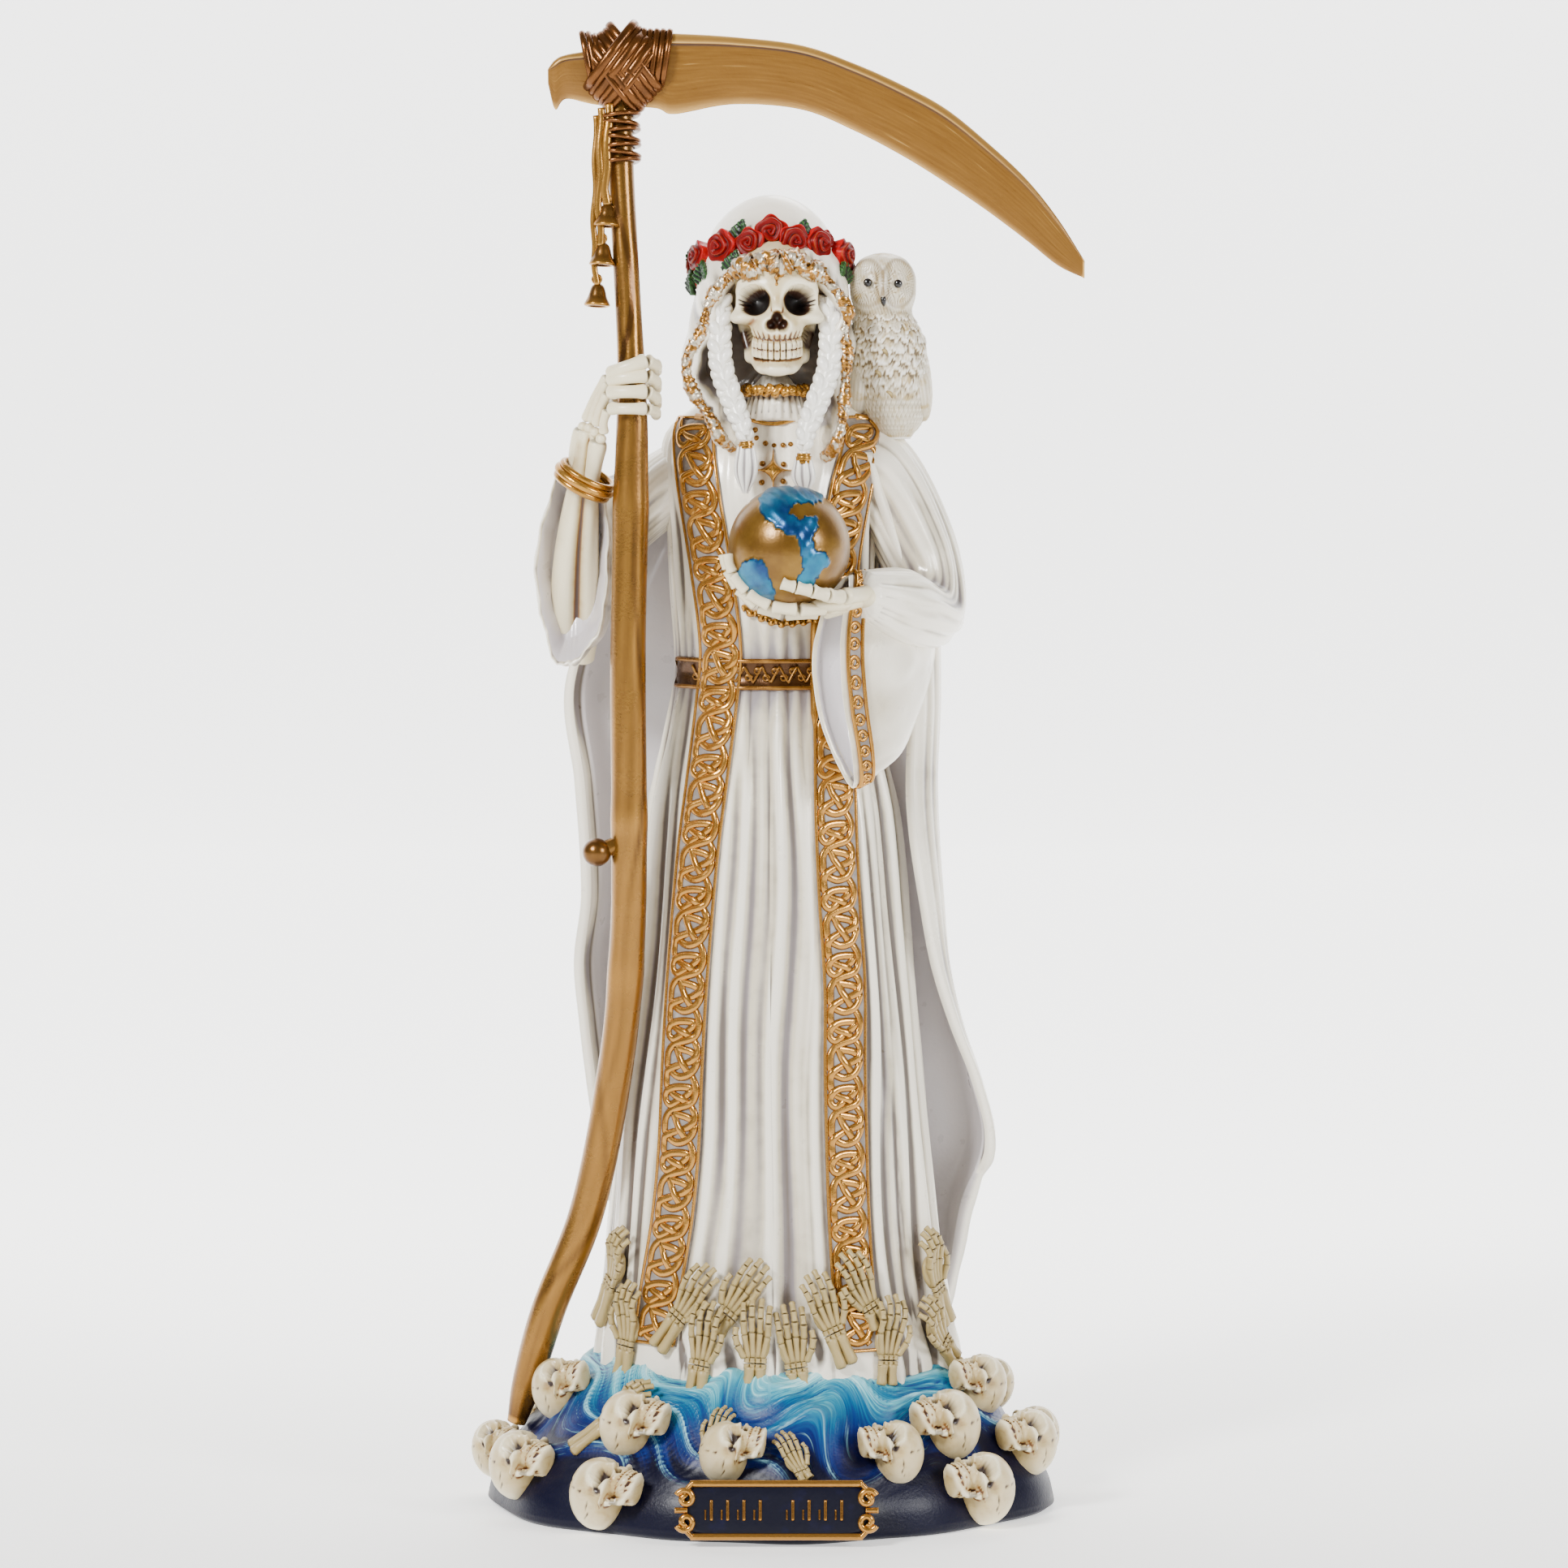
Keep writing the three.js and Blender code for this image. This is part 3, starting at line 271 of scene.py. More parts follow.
def resinPaint(name, look):
    # Brushed paint on cast resin. Each layer covers what lies under it where its field runs from
    # its first to its second value, and patch breaks its edge up as a brush does.
    material = bpy.data.materials.new(name)
    material.use_nodes = True
    tree = material.node_tree
    shader = tree.nodes["Principled BSDF"]
    place = addNode(tree, "ShaderNodeTexCoord").outputs["Object"]
    along = place
    if "brush" in look:  # strokes that follow a field of the mesh
        along = addNode(tree, "ShaderNodeAttribute", attribute_name=look["brush"]).outputs["Vector"]
    mottle = addNode(tree, "ShaderNodeTexNoise", {"Vector": along, "Scale": look.get("mottle", 260),
                                                  "Detail": 5})
    colour = None
    for field, start, end, code, patch in look["layers"]:
        source = addNode(tree, "ShaderNodeAttribute", attribute_name=field).outputs["Fac"]
        if field == "mottle":
            source = mottle.outputs["Fac"]
        if patch:
            source = addNode(
                tree, "ShaderNodeMath", {0: mottle.outputs["Fac"], 1: patch, 2: source},
                operation="MULTIPLY_ADD"
            ).outputs[0]
            start, end = start + patch / 2, end + patch / 2
        share = addNode(tree, "ShaderNodeMapRange", {"Value": source, "From Min": start, "From Max": end})
        mix = addNode(tree, "ShaderNodeMix", {"Factor": share.outputs[0]}, data_type="RGBA")
        for socket in mix.inputs:
            if socket.type == "RGBA" and socket.name == "B":
                socket.default_value = linear(code)
            if socket.type == "RGBA" and socket.name == "A":
                if colour is None:
                    socket.default_value = linear(look["body"])
                else:
                    tree.links.new(colour, socket)
        colour = [s for s in mix.outputs if s.type == "RGBA"][0]
    tree.links.new(colour, shader.inputs["Base Color"])
    shader.inputs["Metallic"].default_value = look.get("metallic", 0)
    shader.inputs["Coat Weight"].default_value = look.get("coat", 0)
    shader.inputs["Coat Roughness"].default_value = look.get("coatRoughness", 0.2)
    shader.inputs["Specular IOR Level"].default_value = look.get("specular", 0.5)
    low, high = look["roughness"]
    grain = addNode(tree, "ShaderNodeTexNoise", {"Vector": place, "Scale": look.get("grain", 1500),
                                                 "Detail": 3})
    rough = addNode(tree, "ShaderNodeMapRange", {"Value": mottle.outputs["Fac"], "To Min": low,
                                                 "To Max": high})
    tree.links.new(rough.outputs[0], shader.inputs["Roughness"])
    bump = addNode(
        tree, "ShaderNodeBump", {"Height": grain.outputs["Fac"], "Distance": look.get("bump", 0.05) * 0.001,
                                 "Strength": 1.0}
    )
    tree.links.new(bump.outputs[0], shader.inputs["Normal"])
    return material


# metallic gold acrylic over a brown ground: bright warm edges, partly rubbed gold and partly a painted
# highlight, and dark seams and hollows, partly the brown ground and partly painted shade
gold = resinPaint("antique_gold_paint_and_painted_light", dict(
    body="#553309", metallic=0.8, roughness=(0.18, 0.34), coat=0.15, mottle=220, grain=1400, bump=0.05,
    layers=[
        ("mottle", 0.45, 0.7, "#6b4510", 0),
        # painted highlight and rubbing: lighter gold on the ridges
        ("nook", -0.06, -0.25, "#c08c3a", 0.06),
        # painted shade: dark brown in the broad hollows
        ("fold", 0.05, 0.4, "#43240a", 0.1),
        # brown ground and painted shade in the fine hollows
        ("nook", 0.012, 0.07, "#291406", 0.03),
    ],
))
# bronze paint over red brown, wiped back: coppery on top of the straps, partly the wiped bronze and partly a
# painted highlight, and nearly black between them, partly the red brown ground and partly painted shade
strapGold = resinPaint("red_bronzed_strap_paint", dict(
    body="#1f0e03", metallic=0.8, roughness=(0.18, 0.34), coat=0.15, mottle=300, grain=1400, bump=0.05,
    layers=[
        ("mottle", 0.4, 0.7, "#4f2d0b", 0),
        # painted highlight: coppery tops of the straps
        ("nook", -0.08, -0.3, "#6c4017", 0.06),
        # painted shade: near black in the broad gaps
        ("fold", 0.02, 0.3, "#240f04", 0.1),
        # painted shade in the fine gaps
        ("nook", 0.012, 0.07, "#1a0903", 0.03),
    ],
))
# liner gold drawn with a fine brush: thin lines that glint along their backs, by the metal's own sheen and by
# a painted highlight, with painted shade in their hollows
goldLine = resinPaint("brushed_gold_line_paint", dict(
    body="#4f3009", metallic=0.85, roughness=(0.16, 0.3), coat=0.15, mottle=420, grain=1800, bump=0.03,
    layers=[
        ("mottle", 0.4, 0.7, "#694510", 0),
        # painted highlight along the backs of the lines
        ("nook", -0.07, -0.22, "#b8843a", 0.05),
        # painted shade in the hollows
        ("nook", 0.01, 0.05, "#301804", 0.02),
    ],
))
# gold dry-brushed over raised scrolls: rubbed tops stand clear of a brown ground
beltGold = resinPaint("rubbed_gold_relief_paint", dict(
    body="#7a5018", metallic=0.7, roughness=(0.2, 0.36), coat=0.1, mottle=300, grain=1600, bump=0.04,
    layers=[
        ("mottle", 0.45, 0.7, "#96692a", 0),
        ("paint", 0.4, 0.6, "#472a0b", 0.2),
    ],
))
# pearl acrylic under clear varnish: a soft sheen from the varnish, pale ridges that are a painted highlight,
# cool painted shade in the folds, grey in the creases that is partly a grey wash and partly painted shade,
# and a cool grey on the linings that is painted shade
pearl = resinPaint("pearl_white_acrylic", dict(
    body="#d4cab3", metallic=0.05, roughness=(0.22, 0.38), coat=0.6, coatRoughness=0.1, mottle=160, grain=900,
    bump=0.06,
    layers=[
        ("mottle", 0.5, 0.8, "#bfb49c", 0),
        # painted highlight on the broad ridges
        ("fold", -0.04, -0.4, "#faf3e2", 0.1),
        # painted shade in the folds
        ("fold", 0.04, 0.45, "#8c8486", 0.15),
        # grey wash and painted shade in the creases
        ("nook", 0.02, 0.13, "#6a6058", 0.05),
        # painted shade: cool grey on the insides of cloak and sleeves
        ("paint", 0.3, 0.7, "#cfc9cb", 0.1),
    ],
))
# pearl paint darkened to grey all over, a painted shade: a dull field that lets the gilt knots stand out
bandGround = resinPaint("pearl_ground_in_painted_shade", dict(
    # painted shade: grey in place of pearl over the whole field
    body="#7d756f", metallic=0.05, roughness=(0.32, 0.5), coat=0.2, mottle=420, grain=1300, bump=0.05,
    layers=[("mottle", 0.45, 0.75, "#a09890", 0)],
))
# ivory acrylic washed with thinned brown and wiped: creamy humps that are a painted highlight, brown cracks
# and hollows that are partly wash and partly painted shade, dark joints, and the dark of the skulls' sockets,
# noses, cheeks and temples, partly dark paint and partly painted shade
boneWhite = resinPaint("bone_acrylic_wash_and_painted_light", dict(
    body="#c0aa78", metallic=0, roughness=(0.28, 0.45), coat=0.25, mottle=300, grain=1200, bump=0.05,
    layers=[
        ("mottle", 0.5, 0.75, "#ab8f58", 0),
        # painted highlight on the humps
        ("fold", -0.1, -0.8, "#ebdfbc", 0.2),
        # brown wash and painted shade in the cracks
        ("nook", 0.02, 0.12, "#845722", 0.06),
        # painted shade in the deeper hollows
        ("nook", 0.09, 0.28, "#3a1e0a", 0.05),
        # dark joints and cracks, and the skulls' dark sockets, noses, cheeks and temples: dark paint and
        # painted shade
        ("paint", 0.25, 0.75, "#28150a", 0.2),
    ],
))
# the same ivory under a heavier brown wash: ridges lighter by a painted highlight, hollows darker by the wash
# and painted shade, and dark joints, so small bones read one by one
handBone = resinPaint("brown_bone_acrylic_wash_and_painted_light", dict(
    body="#6f5a31", metallic=0, roughness=(0.32, 0.5), coat=0.1, mottle=380, grain=1400, bump=0.05,
    layers=[
        # painted highlight on the ridges
        ("nook", -0.08, -0.3, "#a8935f", 0.08),
        # brown wash and painted shade over the hollows
        ("nook", -0.02, 0.08, "#4d3212", 0.08),
        # painted shade in the deeper hollows
        ("nook", 0.05, 0.2, "#241304", 0.05),
        ("paint", 0.1, 0.8, "#2c1806", 0.2),
    ],
))

# the base: a mound of waves

base = dict(halfWidth=79, frontDepth=66, backDepth=60, rim=13, water=42, wave=1.6, crest=1.1)
slopeRows = [[0, 0], [0.02, 0.55], [0.06, 1]]
riseRows = [[0.06, 0], [0.18, 0.42], [0.3, 0.78], [0.42, 1], [0.6, 1]]
baseRows = [[share, level * base["rim"]] for share, level in slopeRows] + [
    [share, base["rim"] + level * (base["water"] - base["rim"])] for share, level in riseRows[1:]
]


def baseRadius(angle):
    depth = np.where(np.cos(angle) > 0, base["frontDepth"], base["backDepth"])
    flat = 1 / np.hypot(np.sin(angle) / base["halfWidth"], np.cos(angle) / depth)
    return flat * (1 + 0.015 * np.sin(5 * angle + 1) + 0.012 * np.sin(11 * angle))


def basePoint(angle, inward):  # angle 0 is the front and a quarter turn is +X
    radius = baseRadius(angle) * (1 - inward)
    swirl = np.sin(7 * angle + 16 * inward) * np.sin(13 * inward + 2 * angle + 0.5)
    height = value(baseRows, inward) + base["wave"] * swirl * smooth(inward, 0.06, 0.16)
    return np.stack([radius * np.sin(angle), -radius * np.cos(angle), height], -1)


def waterFlow(angle, inward):  # counts the wave crests; they run round the base and curl
    return (5 * angle + 24 * inward + 1.7 * np.sin(3 * angle + 9 * inward)
            + 1.2 * np.sin(8 * angle - 14 * inward))


def makeBase():
    # Height = mound + crest · (1 − |sin(flow)|) + brush ridges that follow the flow.
    inward = np.concatenate([np.linspace(0, 0.06, 16), np.linspace(0.067, 0.6, 70)])
    share, angle = np.meshgrid(inward, around(380), indexing="ij")
    points = basePoint(angle, share)
    flow = waterFlow(angle, share)
    ease = smooth(share, 0.03, 0.12)
    crest = (1 - np.abs(np.sin(flow))) ** 1.4
    strokes = np.sin(7 * flow + 2 * np.sin(5 * angle)) + 0.7 * np.sin(13 * flow + 3 * np.sin(9 * angle))
    points[..., 2] += ease * (base["crest"] * crest + 0.16 * strokes)
    points[0] = basePoint(angle[0], share[0]) * [0.97, 0.97, 0]
    light = value([[0, 0], [0.08, 0.05], [0.18, 0.26], [0.3, 0.55], [0.42, 0.9], [0.6, 1]], share)
    # front makes the front of the base a little lighter and the back a little darker: painted light
    front = smooth(np.cos(angle), -0.2, 0.7)
    light = light + 0.16 * (crest - 0.4) * ease + 0.1 * (front - 0.6) + 0.06 * np.sin(3 * flow) * ease
    brush = np.stack([3.4 * flow, 2.4 * angle, 0 * flow], -1).reshape(-1, 3)
    return skin(points, light), np.vstack([brush, brush[:1], brush[-1:]])


# blues brushed wet into wet from a navy rim up to pale foam: streaks that follow the waves, pale on the
# ridges by a painted highlight and dark blue in the hollows by painted shade
water = resinPaint("brushed_sea_blue_acrylic", dict(
    body="#03042c", metallic=0, roughness=(0.3, 0.48), coat=0.04, specular=0.2, mottle=2.6, grain=1300,
    bump=0.08,
    brush="brush",
    layers=[
        ("paint", 0.1, 0.3, "#03185a", 0.3),
        ("paint", 0.26, 0.48, "#07497a", 0.5),
        ("paint", 0.42, 0.68, "#17809a", 0.7),
        ("paint", 0.6, 0.9, "#74c4ce", 0.9),
        ("paint", 0.8, 1.1, "#cdeceb", 1.2),
        # painted highlight on the ridges
        ("nook", -0.1, -0.4, "#8fd0de", 0.9),
        # painted shade in the hollows
        ("nook", 0.03, 0.2, "#06276c", 0.1),
        ("paint", 0.2, 0.08, "#03041e", 0.1),
    ],
))
waves, brushWay = makeBase()
waveBase = addPiece("wave_base", [waves], water, rounds=(2, 14))
addBrush(waveBase, brushWay)

# the gown, its bands and belt

gownRows = [
    # height, middle, half width, half depth in front, half depth behind, depth of the folds
    [34, 1.5, 51.5, 41, 36, 1],
    [45, 1.8, 50, 39.5, 35, 1.2],
    [60, 1.2, 47.5, 37.5, 34, 1.5],
    [84, 0.7, 44.5, 35, 32, 1.6],
    [124, 0, 41, 32, 29, 1.5],
    [160, 0, 37.5, 29.5, 27, 1.3],
    [192, 0, 34, 27, 25, 1.1],
    [215, 0.3, 29.5, 24, 22, 0.8],
    [231, 0.6, 27.2, 22, 21, 0.2],
    [250, 0.6, 28, 23.5, 21, 0.4],
    [270, 0.6, 29, 24, 20, 0.4],
    [286, 0.6, 30.5, 22.5, 18, 0.2],
    [298, 0.8, 29, 17, 15, 0],
    [306, 1, 20, 12, 12, 0],
    [313, 1.2, 10, 9, 9, 0],
]
bandRows = dict(
    right=[[48, -31.5], [64, -29.5], [83, -26.5], [101, -24.8], [124, -23.8], [147, -22.5], [183, -19.5],
           [206, -16.6], [224, -14.4], [238, -13.3], [260, -15.8], [283, -19.4], [296, -20.6], [302, -19.4]],
    left=[[47, 23.6], [64, 22.2], [83, 21], [101, 20.4], [124, 19.9], [147, 19.8], [169, 18.4], [192, 17.4],
          [215, 17.1], [238, 16.8], [260, 17.8], [283, 21.6], [296, 24.6], [302, 22.6]],
)
band = dict(width=11.6, proud=1.25, strand=1.16)


def gownPoint(angle, height, proud=0.0):
    # Middle + (half axes + folds + proud) round an ellipse; the folds fade beside the two bands.
    middle, width, front, back, depth = np.moveaxis(between(gownRows, height), -1, 0)
    sine, cosine = np.sin(angle), np.cos(angle)
    x = middle + width * sine
    fromRight = np.abs(x - value(bandRows["right"], height))
    fromLeft = np.abs(x - value(bandRows["left"], height))
    flat = np.where(cosine > 0, smooth(np.minimum(fromRight, fromLeft), 5.5, 9), 1)
    wave = (0.65 * np.cos(16 * angle + 0.9 * np.sin(height / 45))
            + 0.35 * np.cos(9 * angle + 1.7 + height / 60))
    out = depth * wave * flat + proud
    return np.stack(
        [middle + (width + out) * sine, -(np.where(cosine > 0, front, back) + out) * cosine,
         height + 0 * x], -1
    )


def gownAngle(x, height):
    middle, width = np.moveaxis(between(gownRows, height), -1, 0)[:2]
    return np.arcsin(np.clip((x - middle) / width, -0.98, 0.98))


def makeGown():
    # Broad folds as the solid has them, with narrow pleats that start under the belt and fine creases.
    share, t = np.meshgrid(np.linspace(0, 1, 124), around(296), indexing="ij")
    angle = t - 0.5 * np.sin(t)
    height = 34 + share * (313 - 34)
    x = between(gownRows, height)[..., 0] + between(gownRows, height)[..., 1] * np.sin(angle)
    fromBand = np.minimum(
        np.abs(x - value(bandRows["right"], height)), np.abs(x - value(bandRows["left"], height))
    )
    flat = np.where(np.cos(angle) > 0, smooth(fromBand, 5.5, 8), 1)
    pleats = 0.55 * np.abs(np.sin(17 * angle + 0.6 * np.sin(height / 30))) * hump(height, 212, 26)
    creases = (0.22 * np.sin(41 * angle + 1.5 * np.sin(height / 21))
               * (0.4 + 0.6 * np.sin(height / 33 + 5 * angle)))
    chest = 0.5 * np.sin(30 * angle + height / 14) * hump(height, 262, 14) + 0.35 * np.sin(44 * angle) * hump(
        height, 295, 9
    )
    hem = 0.5 * np.sin(23 * angle + height / 4) * hump(height, 50, 10)
    run = 26 * angle + 1.3 * np.sin(height / 38) + 0.5 * np.sin(height / 17 + 4 * angle)
    folds = (
        0.9 * (1 - np.abs(np.sin(run / 2))) ** 0.8 - 0.35 + 0.25 * np.sin(run * 1.7)
    ) * smooth(height, 222, 190)
    return skin(gownPoint(angle, height, flat * (pleats + creases + chest + hem + 1.9 * folds)))


addPiece("gown", [makeGown()], pearl, rounds=(2, 26))


def onBand(side, across, height, proud):  # a place on a band: mm across from its middle line, height, mm out
    x = value(bandRows[side], height) + across
    return gownPoint(gownAngle(x, height), height, proud)


def bandStrip(side):
    rows = bandRows[side]
    low, high = rows[0][0], rows[-1][0]
    half = band["width"] / 2
    section = np.array([[-1, -2.5], [1, -2.5], [1, 0.5], [0.97, 0.9], [0.8, 0.95], [0.3, 0.9], [0, 0.9],
                        [-0.3, 0.9],
                        [-0.8, 0.95], [-0.97, 0.9], [-1, 0.5]])
    height = np.linspace(low, high, 120)
    return skin(onBand(side, section[None, :, 0] * half, height[:, None], section[None, :, 1]))


def ribbonOn(side, across, height, lift, wide, high, ends="pole", size=1.0):
    # A half-round ribbon that lies on a band along the path (across, height).
    path = onBand(side, across, height, band["proud"] + lift - 0.3)
    out = onBand(side, across, height, band["proud"] + lift + 0.7) - path
    return swept(path, oval(6, wide, high), out, size, 0.0, ends)


def bandBorders(side):
    rows = bandRows[side]
    low, high = rows[0][0] + 0.4, rows[-1][0] - 0.4
    half = band["width"] / 2 - 0.45
    height = np.linspace(low, high, 130)
    ends = np.linspace(-half, half, 14)
    # under the globe hand
    thick = 1 + 1.3 * (side == "left") * smooth(height, 217, 221) * smooth(height, 250, 244)
    return [
        ribbonOn(side, np.full(130, way * half), height, -0.1, 0.5, 0.55, size=thick if way < 0 else 1.0)
        for way in (-1, 1)
    ] + [ribbonOn(side, ends, np.full(14, level), -0.1, 0.5, 0.55) for level in (low, high)]


interlace = dict(
    period=18.0,
    # Three strands over one period: mm across, mm up, and lift where they cross, 1 over and -1 under.
    long=[[-1.8, -8.1, 0], [-1.3, -6.7, 0], [-0.8, -5.4, 0], [0.25, -3.6, 1], [1.4, -1.7, 0], [2.2, -0.9, -1],
          [3.1, 0.4, -0.4], [3.85, 2.2, 0], [4.0, 4.2, 0], [3.4, 6.2, 0], [2.1, 7.5, 1], [-0.55, 8.4, 0.3],
          [-2.7, 9.5, 0], [-3.85, 11.4, 0], [-4.0, 13.6, 0], [-3.95, 15.2, -0.3], [-3.5, 16.3, -1],
          [-2.1, 17.3, 0],
          [-0.3, 18.0, 0.2], [2.05, 17.2, 1], [3.5, 15.3, 0], [3.95, 13.6, 0], [3.6, 12.4, -1],
          [2.55, 11.2, 0],
          [1.3, 10.7, 0], [-0.85, 10.25, 0], [-1.75, 10.1, 0]],
    side=[[-4.0, 0, 0], [-3.95, 2.2, 0], [-3.45, 3.8, -1], [-1.65, 5.1, 0], [0.3, 5.8, 1], [1.35, 6.6, 0],
          [2.4, 7.6, -1], [3.4, 8.8, 0], [4.0, 10.5, 0], [3.6, 12.5, 1], [2.3, 13.6, 0], [0.3, 14.4, -1],
          [-1.85, 15.3, 0], [-3.5, 16.3, 1]],
    ring=[[-3.45, 3.8, 1], [-2.2, 3.1, 0.2], [-0.55, 2.75, 0], [1.6, 2.75, 0], [2.6, 3.1, 0], [1.9, 4.6, 0],
          [0.3, 5.8, -1], [-1.1, 6.8, 0], [-2.6, 7.8, 0], [-3.8, 7.0, 0], [-4.1, 5.3, 0]],
)


def bandKnots(side):
    # The long and the side strand run on from period to period, and a ring hangs in each.
    rows = bandRows[side]
    low, high = rows[0][0] + 1.6, rows[-1][0] - 0.5
    period = interlace["period"]
    count = int((high - low) / period) + 2
    lift = 0.34
    forms = []
    for key in ("long", "side"):
        cell = np.array(interlace[key], float)
        path = np.concatenate([cell + [0, k * period, 0] for k in range(-1, count)])
        path = through(path, 3 * len(path))
        height = high - path[:, 1]
        whole = (height > low) & (height < high)
        path, height = path[whole], height[whole]
        cuts = np.flatnonzero(np.abs(np.diff(height)) > 3) + 1
        for part in np.split(np.arange(len(path)), cuts):
            if len(part) > 8:
                forms.append(ribbonOn(side, path[part, 0], height[part], lift * path[part, 2],
                                      band["strand"], 0.55))
    ring = np.array(interlace["ring"], float)
    ring = through(np.vstack([ring, ring[:1]]), 40)[:-1]
    for k in range(count):
        height = high - ring[:, 1] - k * period
        if height.min() > low:
            forms.append(ribbonOn(side, ring[:, 0], height, lift * ring[:, 2], band["strand"], 0.55, "loop"))
    return forms


for side in bandRows:
    addPiece(f"band_ground_{side}", [bandStrip(side)], bandGround, rounds=(2, 6))
    addPiece(f"band_knots_{side}", bandKnots(side) + bandBorders(side), goldLine, rounds=(2, 8))


def onFront(x, height, proud):  # a place on the gown's front, by its place across
    return gownPoint(gownAngle(x, height), height, proud)


def lineOn(x, height, radius, proud=0.4, sides=8):  # a raised line painted on the gown's front
    path = onFront(x, height, proud)
    return swept(path, oval(sides), onFront(x, height, proud + 1) - path, radius)


belt = dict(half=4.3, middle=231.5, reach=72, zigzags=9, zigzagWidth=42, scrolls=18, scrollRadius=0.95)


def makeBelt():
    # A flat band between two rims, with a zigzag and small scrolls between them.
    half, middle = belt["half"], belt["middle"]
    angle = np.radians(np.linspace(-belt["reach"], belt["reach"], 120))
    section = np.array([[-1, -3], [-1, 0.8], [-0.9, 1.35], [-0.76, 1.3], [-0.7, 0.8], [0, 0.75], [0.7, 0.8],
                        [0.76, 1.3], [0.9, 1.35], [1, 0.8], [1, -3]])
    strip = skin(
        gownPoint(angle[:, None], middle + half * section[None, :, 0], section[None, :, 1]),
        1.0 * (np.abs(section[None, :, 0]) < 0.75),
    )
    forms = [strip]
    t = np.linspace(0, 1, 140)
    zig = 2.2 * (2 * np.abs((t * belt["zigzags"]) % 1 * 2 - 1) - 1)
    forms.append(lineOn(belt["zigzagWidth"] * (t - 0.5), middle + zig, 0.4, 0.95, 6))
    for k in range(belt["scrolls"]):
        c = np.linspace(0, turn * 1.4, 22)
        size = belt["scrollRadius"] * (1 - 0.45 * c / c[-1])
        way = 1 if k % 2 else -1
        forms.append(lineOn(-19.8 + 2.33 * k + size * np.cos(c), middle + way * 0.9 + size * np.sin(c), 0.3,
                            1.0, 6))
    return forms


addPiece("belt", makeBelt(), beltGold, rounds=(2, 8))

# the cloak

cloakRows = [
    # height, half width on the right (-X), on the left (+X), depth behind
    [36, 40, 52, 48], [60, 42, 55, 46], [82, 46.7, 57, 44], [100, 49.5, 62.3, 42], [117, 52, 59, 40],
    [133, 54, 53.5, 38.5], [150, 55.4, 49.5, 36.5], [169, 53.2, 48, 35], [200, 55, 46.3, 32],
    [226, 58, 47.2, 29], [250, 50, 46, 26], [270, 40, 40, 23], [292, 30, 31, 18],
]
cloakHem = [[0, 83], [0.07, 79], [0.14, 62], [0.2, 38], [0.5, 36], [0.8, 38], [0.87, 60], [0.93, 84], [1, 99]]


def cloakPoint(way, share, inset, relief=0.0):
    # way runs from its right edge round the back to its left edge, share from the hem up.
    height = value(cloakHem, way)
    height = height + share * (292 - height)
    right, left, back = np.moveaxis(between(cloakRows, height), -1, 0)
    leftEdge = 58 + 27 * smooth(height, 200, 95)
    angle = np.radians(262 + (leftEdge - 262) * way)
    sine, cosine = np.sin(angle), np.cos(angle)
    behind = np.maximum(-cosine, 0)
    fold = 1.6 * np.sin(11 * angle) * smooth(height, 290, 200) * behind + relief
    width = np.where(sine < 0, right, left) + fold - inset
    depth = np.where(cosine < 0, back, 25) + fold - inset
    return np.stack([width * sine, -depth * cosine, height], -1)


cloak = dict(columns=135, rows=92, thick=3.4, buried=12.6)


def makeCloak():
    # The outer face has long creases; the inner face stands 2.6 mm in at the free edges.
    half = cloak["columns"]
    k = np.arange(2 * half)
    way = np.where(k < half, k, 2 * half - 1 - k) / (half - 1)
    way = 0.4 * way + 0.3 * (1 - np.cos(math.pi * way))  # closer columns at the two edges
    share, way = np.meshgrid(np.linspace(0, 1, cloak["rows"]), way, indexing="ij")
    outer = np.broadcast_to(k < half, share.shape)
    buried = smooth(np.abs(way - 0.5), 0.36, 0.24)
    facing = smooth(np.abs(way - 0.5), 0.455, 0.463)  # a turned-in strip stands out along the edge
    inset = np.where(outer, 0, cloak["thick"] - 0.8 * facing + buried * cloak["buried"])
    ease = smooth(share, 1.0, 0.85)
    creases = 0.45 * np.sin(84 * way + 3 * share) * (0.5 + 0.5 * np.sin(9 * way + 5 * share))
    creases = creases + 0.25 * np.sin(150 * way + 6 * np.sin(3 * share)) * np.sin(13 * way + 2) ** 2
    edge = 0.35 * smooth(share, 0.03, 0.0)
    # the inner face is marked for the cool grey of the linings, a painted shade, less so on the turned-in
    # strip
    lining = np.where(outer, 0, 1 - 0.7 * facing)
    return skin(cloakPoint(way, share, inset, np.where(outer, (creases + edge) * ease, 0)), lining, "strip")


addPiece("cloak", [makeCloak()], pearl, rounds=(2, 22))

# arms and hanging sleeves: rings of a middle and two half axes, as on the solid

rightSleeve = [
    [-20, 2, 288, 0, 10, 0, 3, 0, 13], [-36, 2, 276, -1, 11, 0, 4, 0, 16],
    [-47, -2, 264, -7.5, 8.5, 0, 3, 0, 21],
    [-53, -11, 261, -10.5, 2.5, 0, 1, 1, 26.5], [-54, -20, 261.5, -10.3, 1, 0, 1, 2, 27.8],
    [-54, -20.4, 261.5, -9, 1, 0, 1, 2, 26], [-53.5, -14.5, 262, -6.5, 1, 0, 1, 1, 21],
]
leftArm = [
    [16, 1, 291, 4, 0, 12, 0, 11, 0], [29.5, 0, 284, 8, 0, 9.5, 0, 12, 0],
    [40, -3, 265, 10, 0, 4, 0, 11.5, 0],
    [43, -9, 250, 10, -2, -2, 2, 8, -8], [35, -25, 250, 9, -5, 0, 0, 0, -10.5],
    [24, -37, 254, 5, -3.5, 0, 0, 0, -6.5],
]
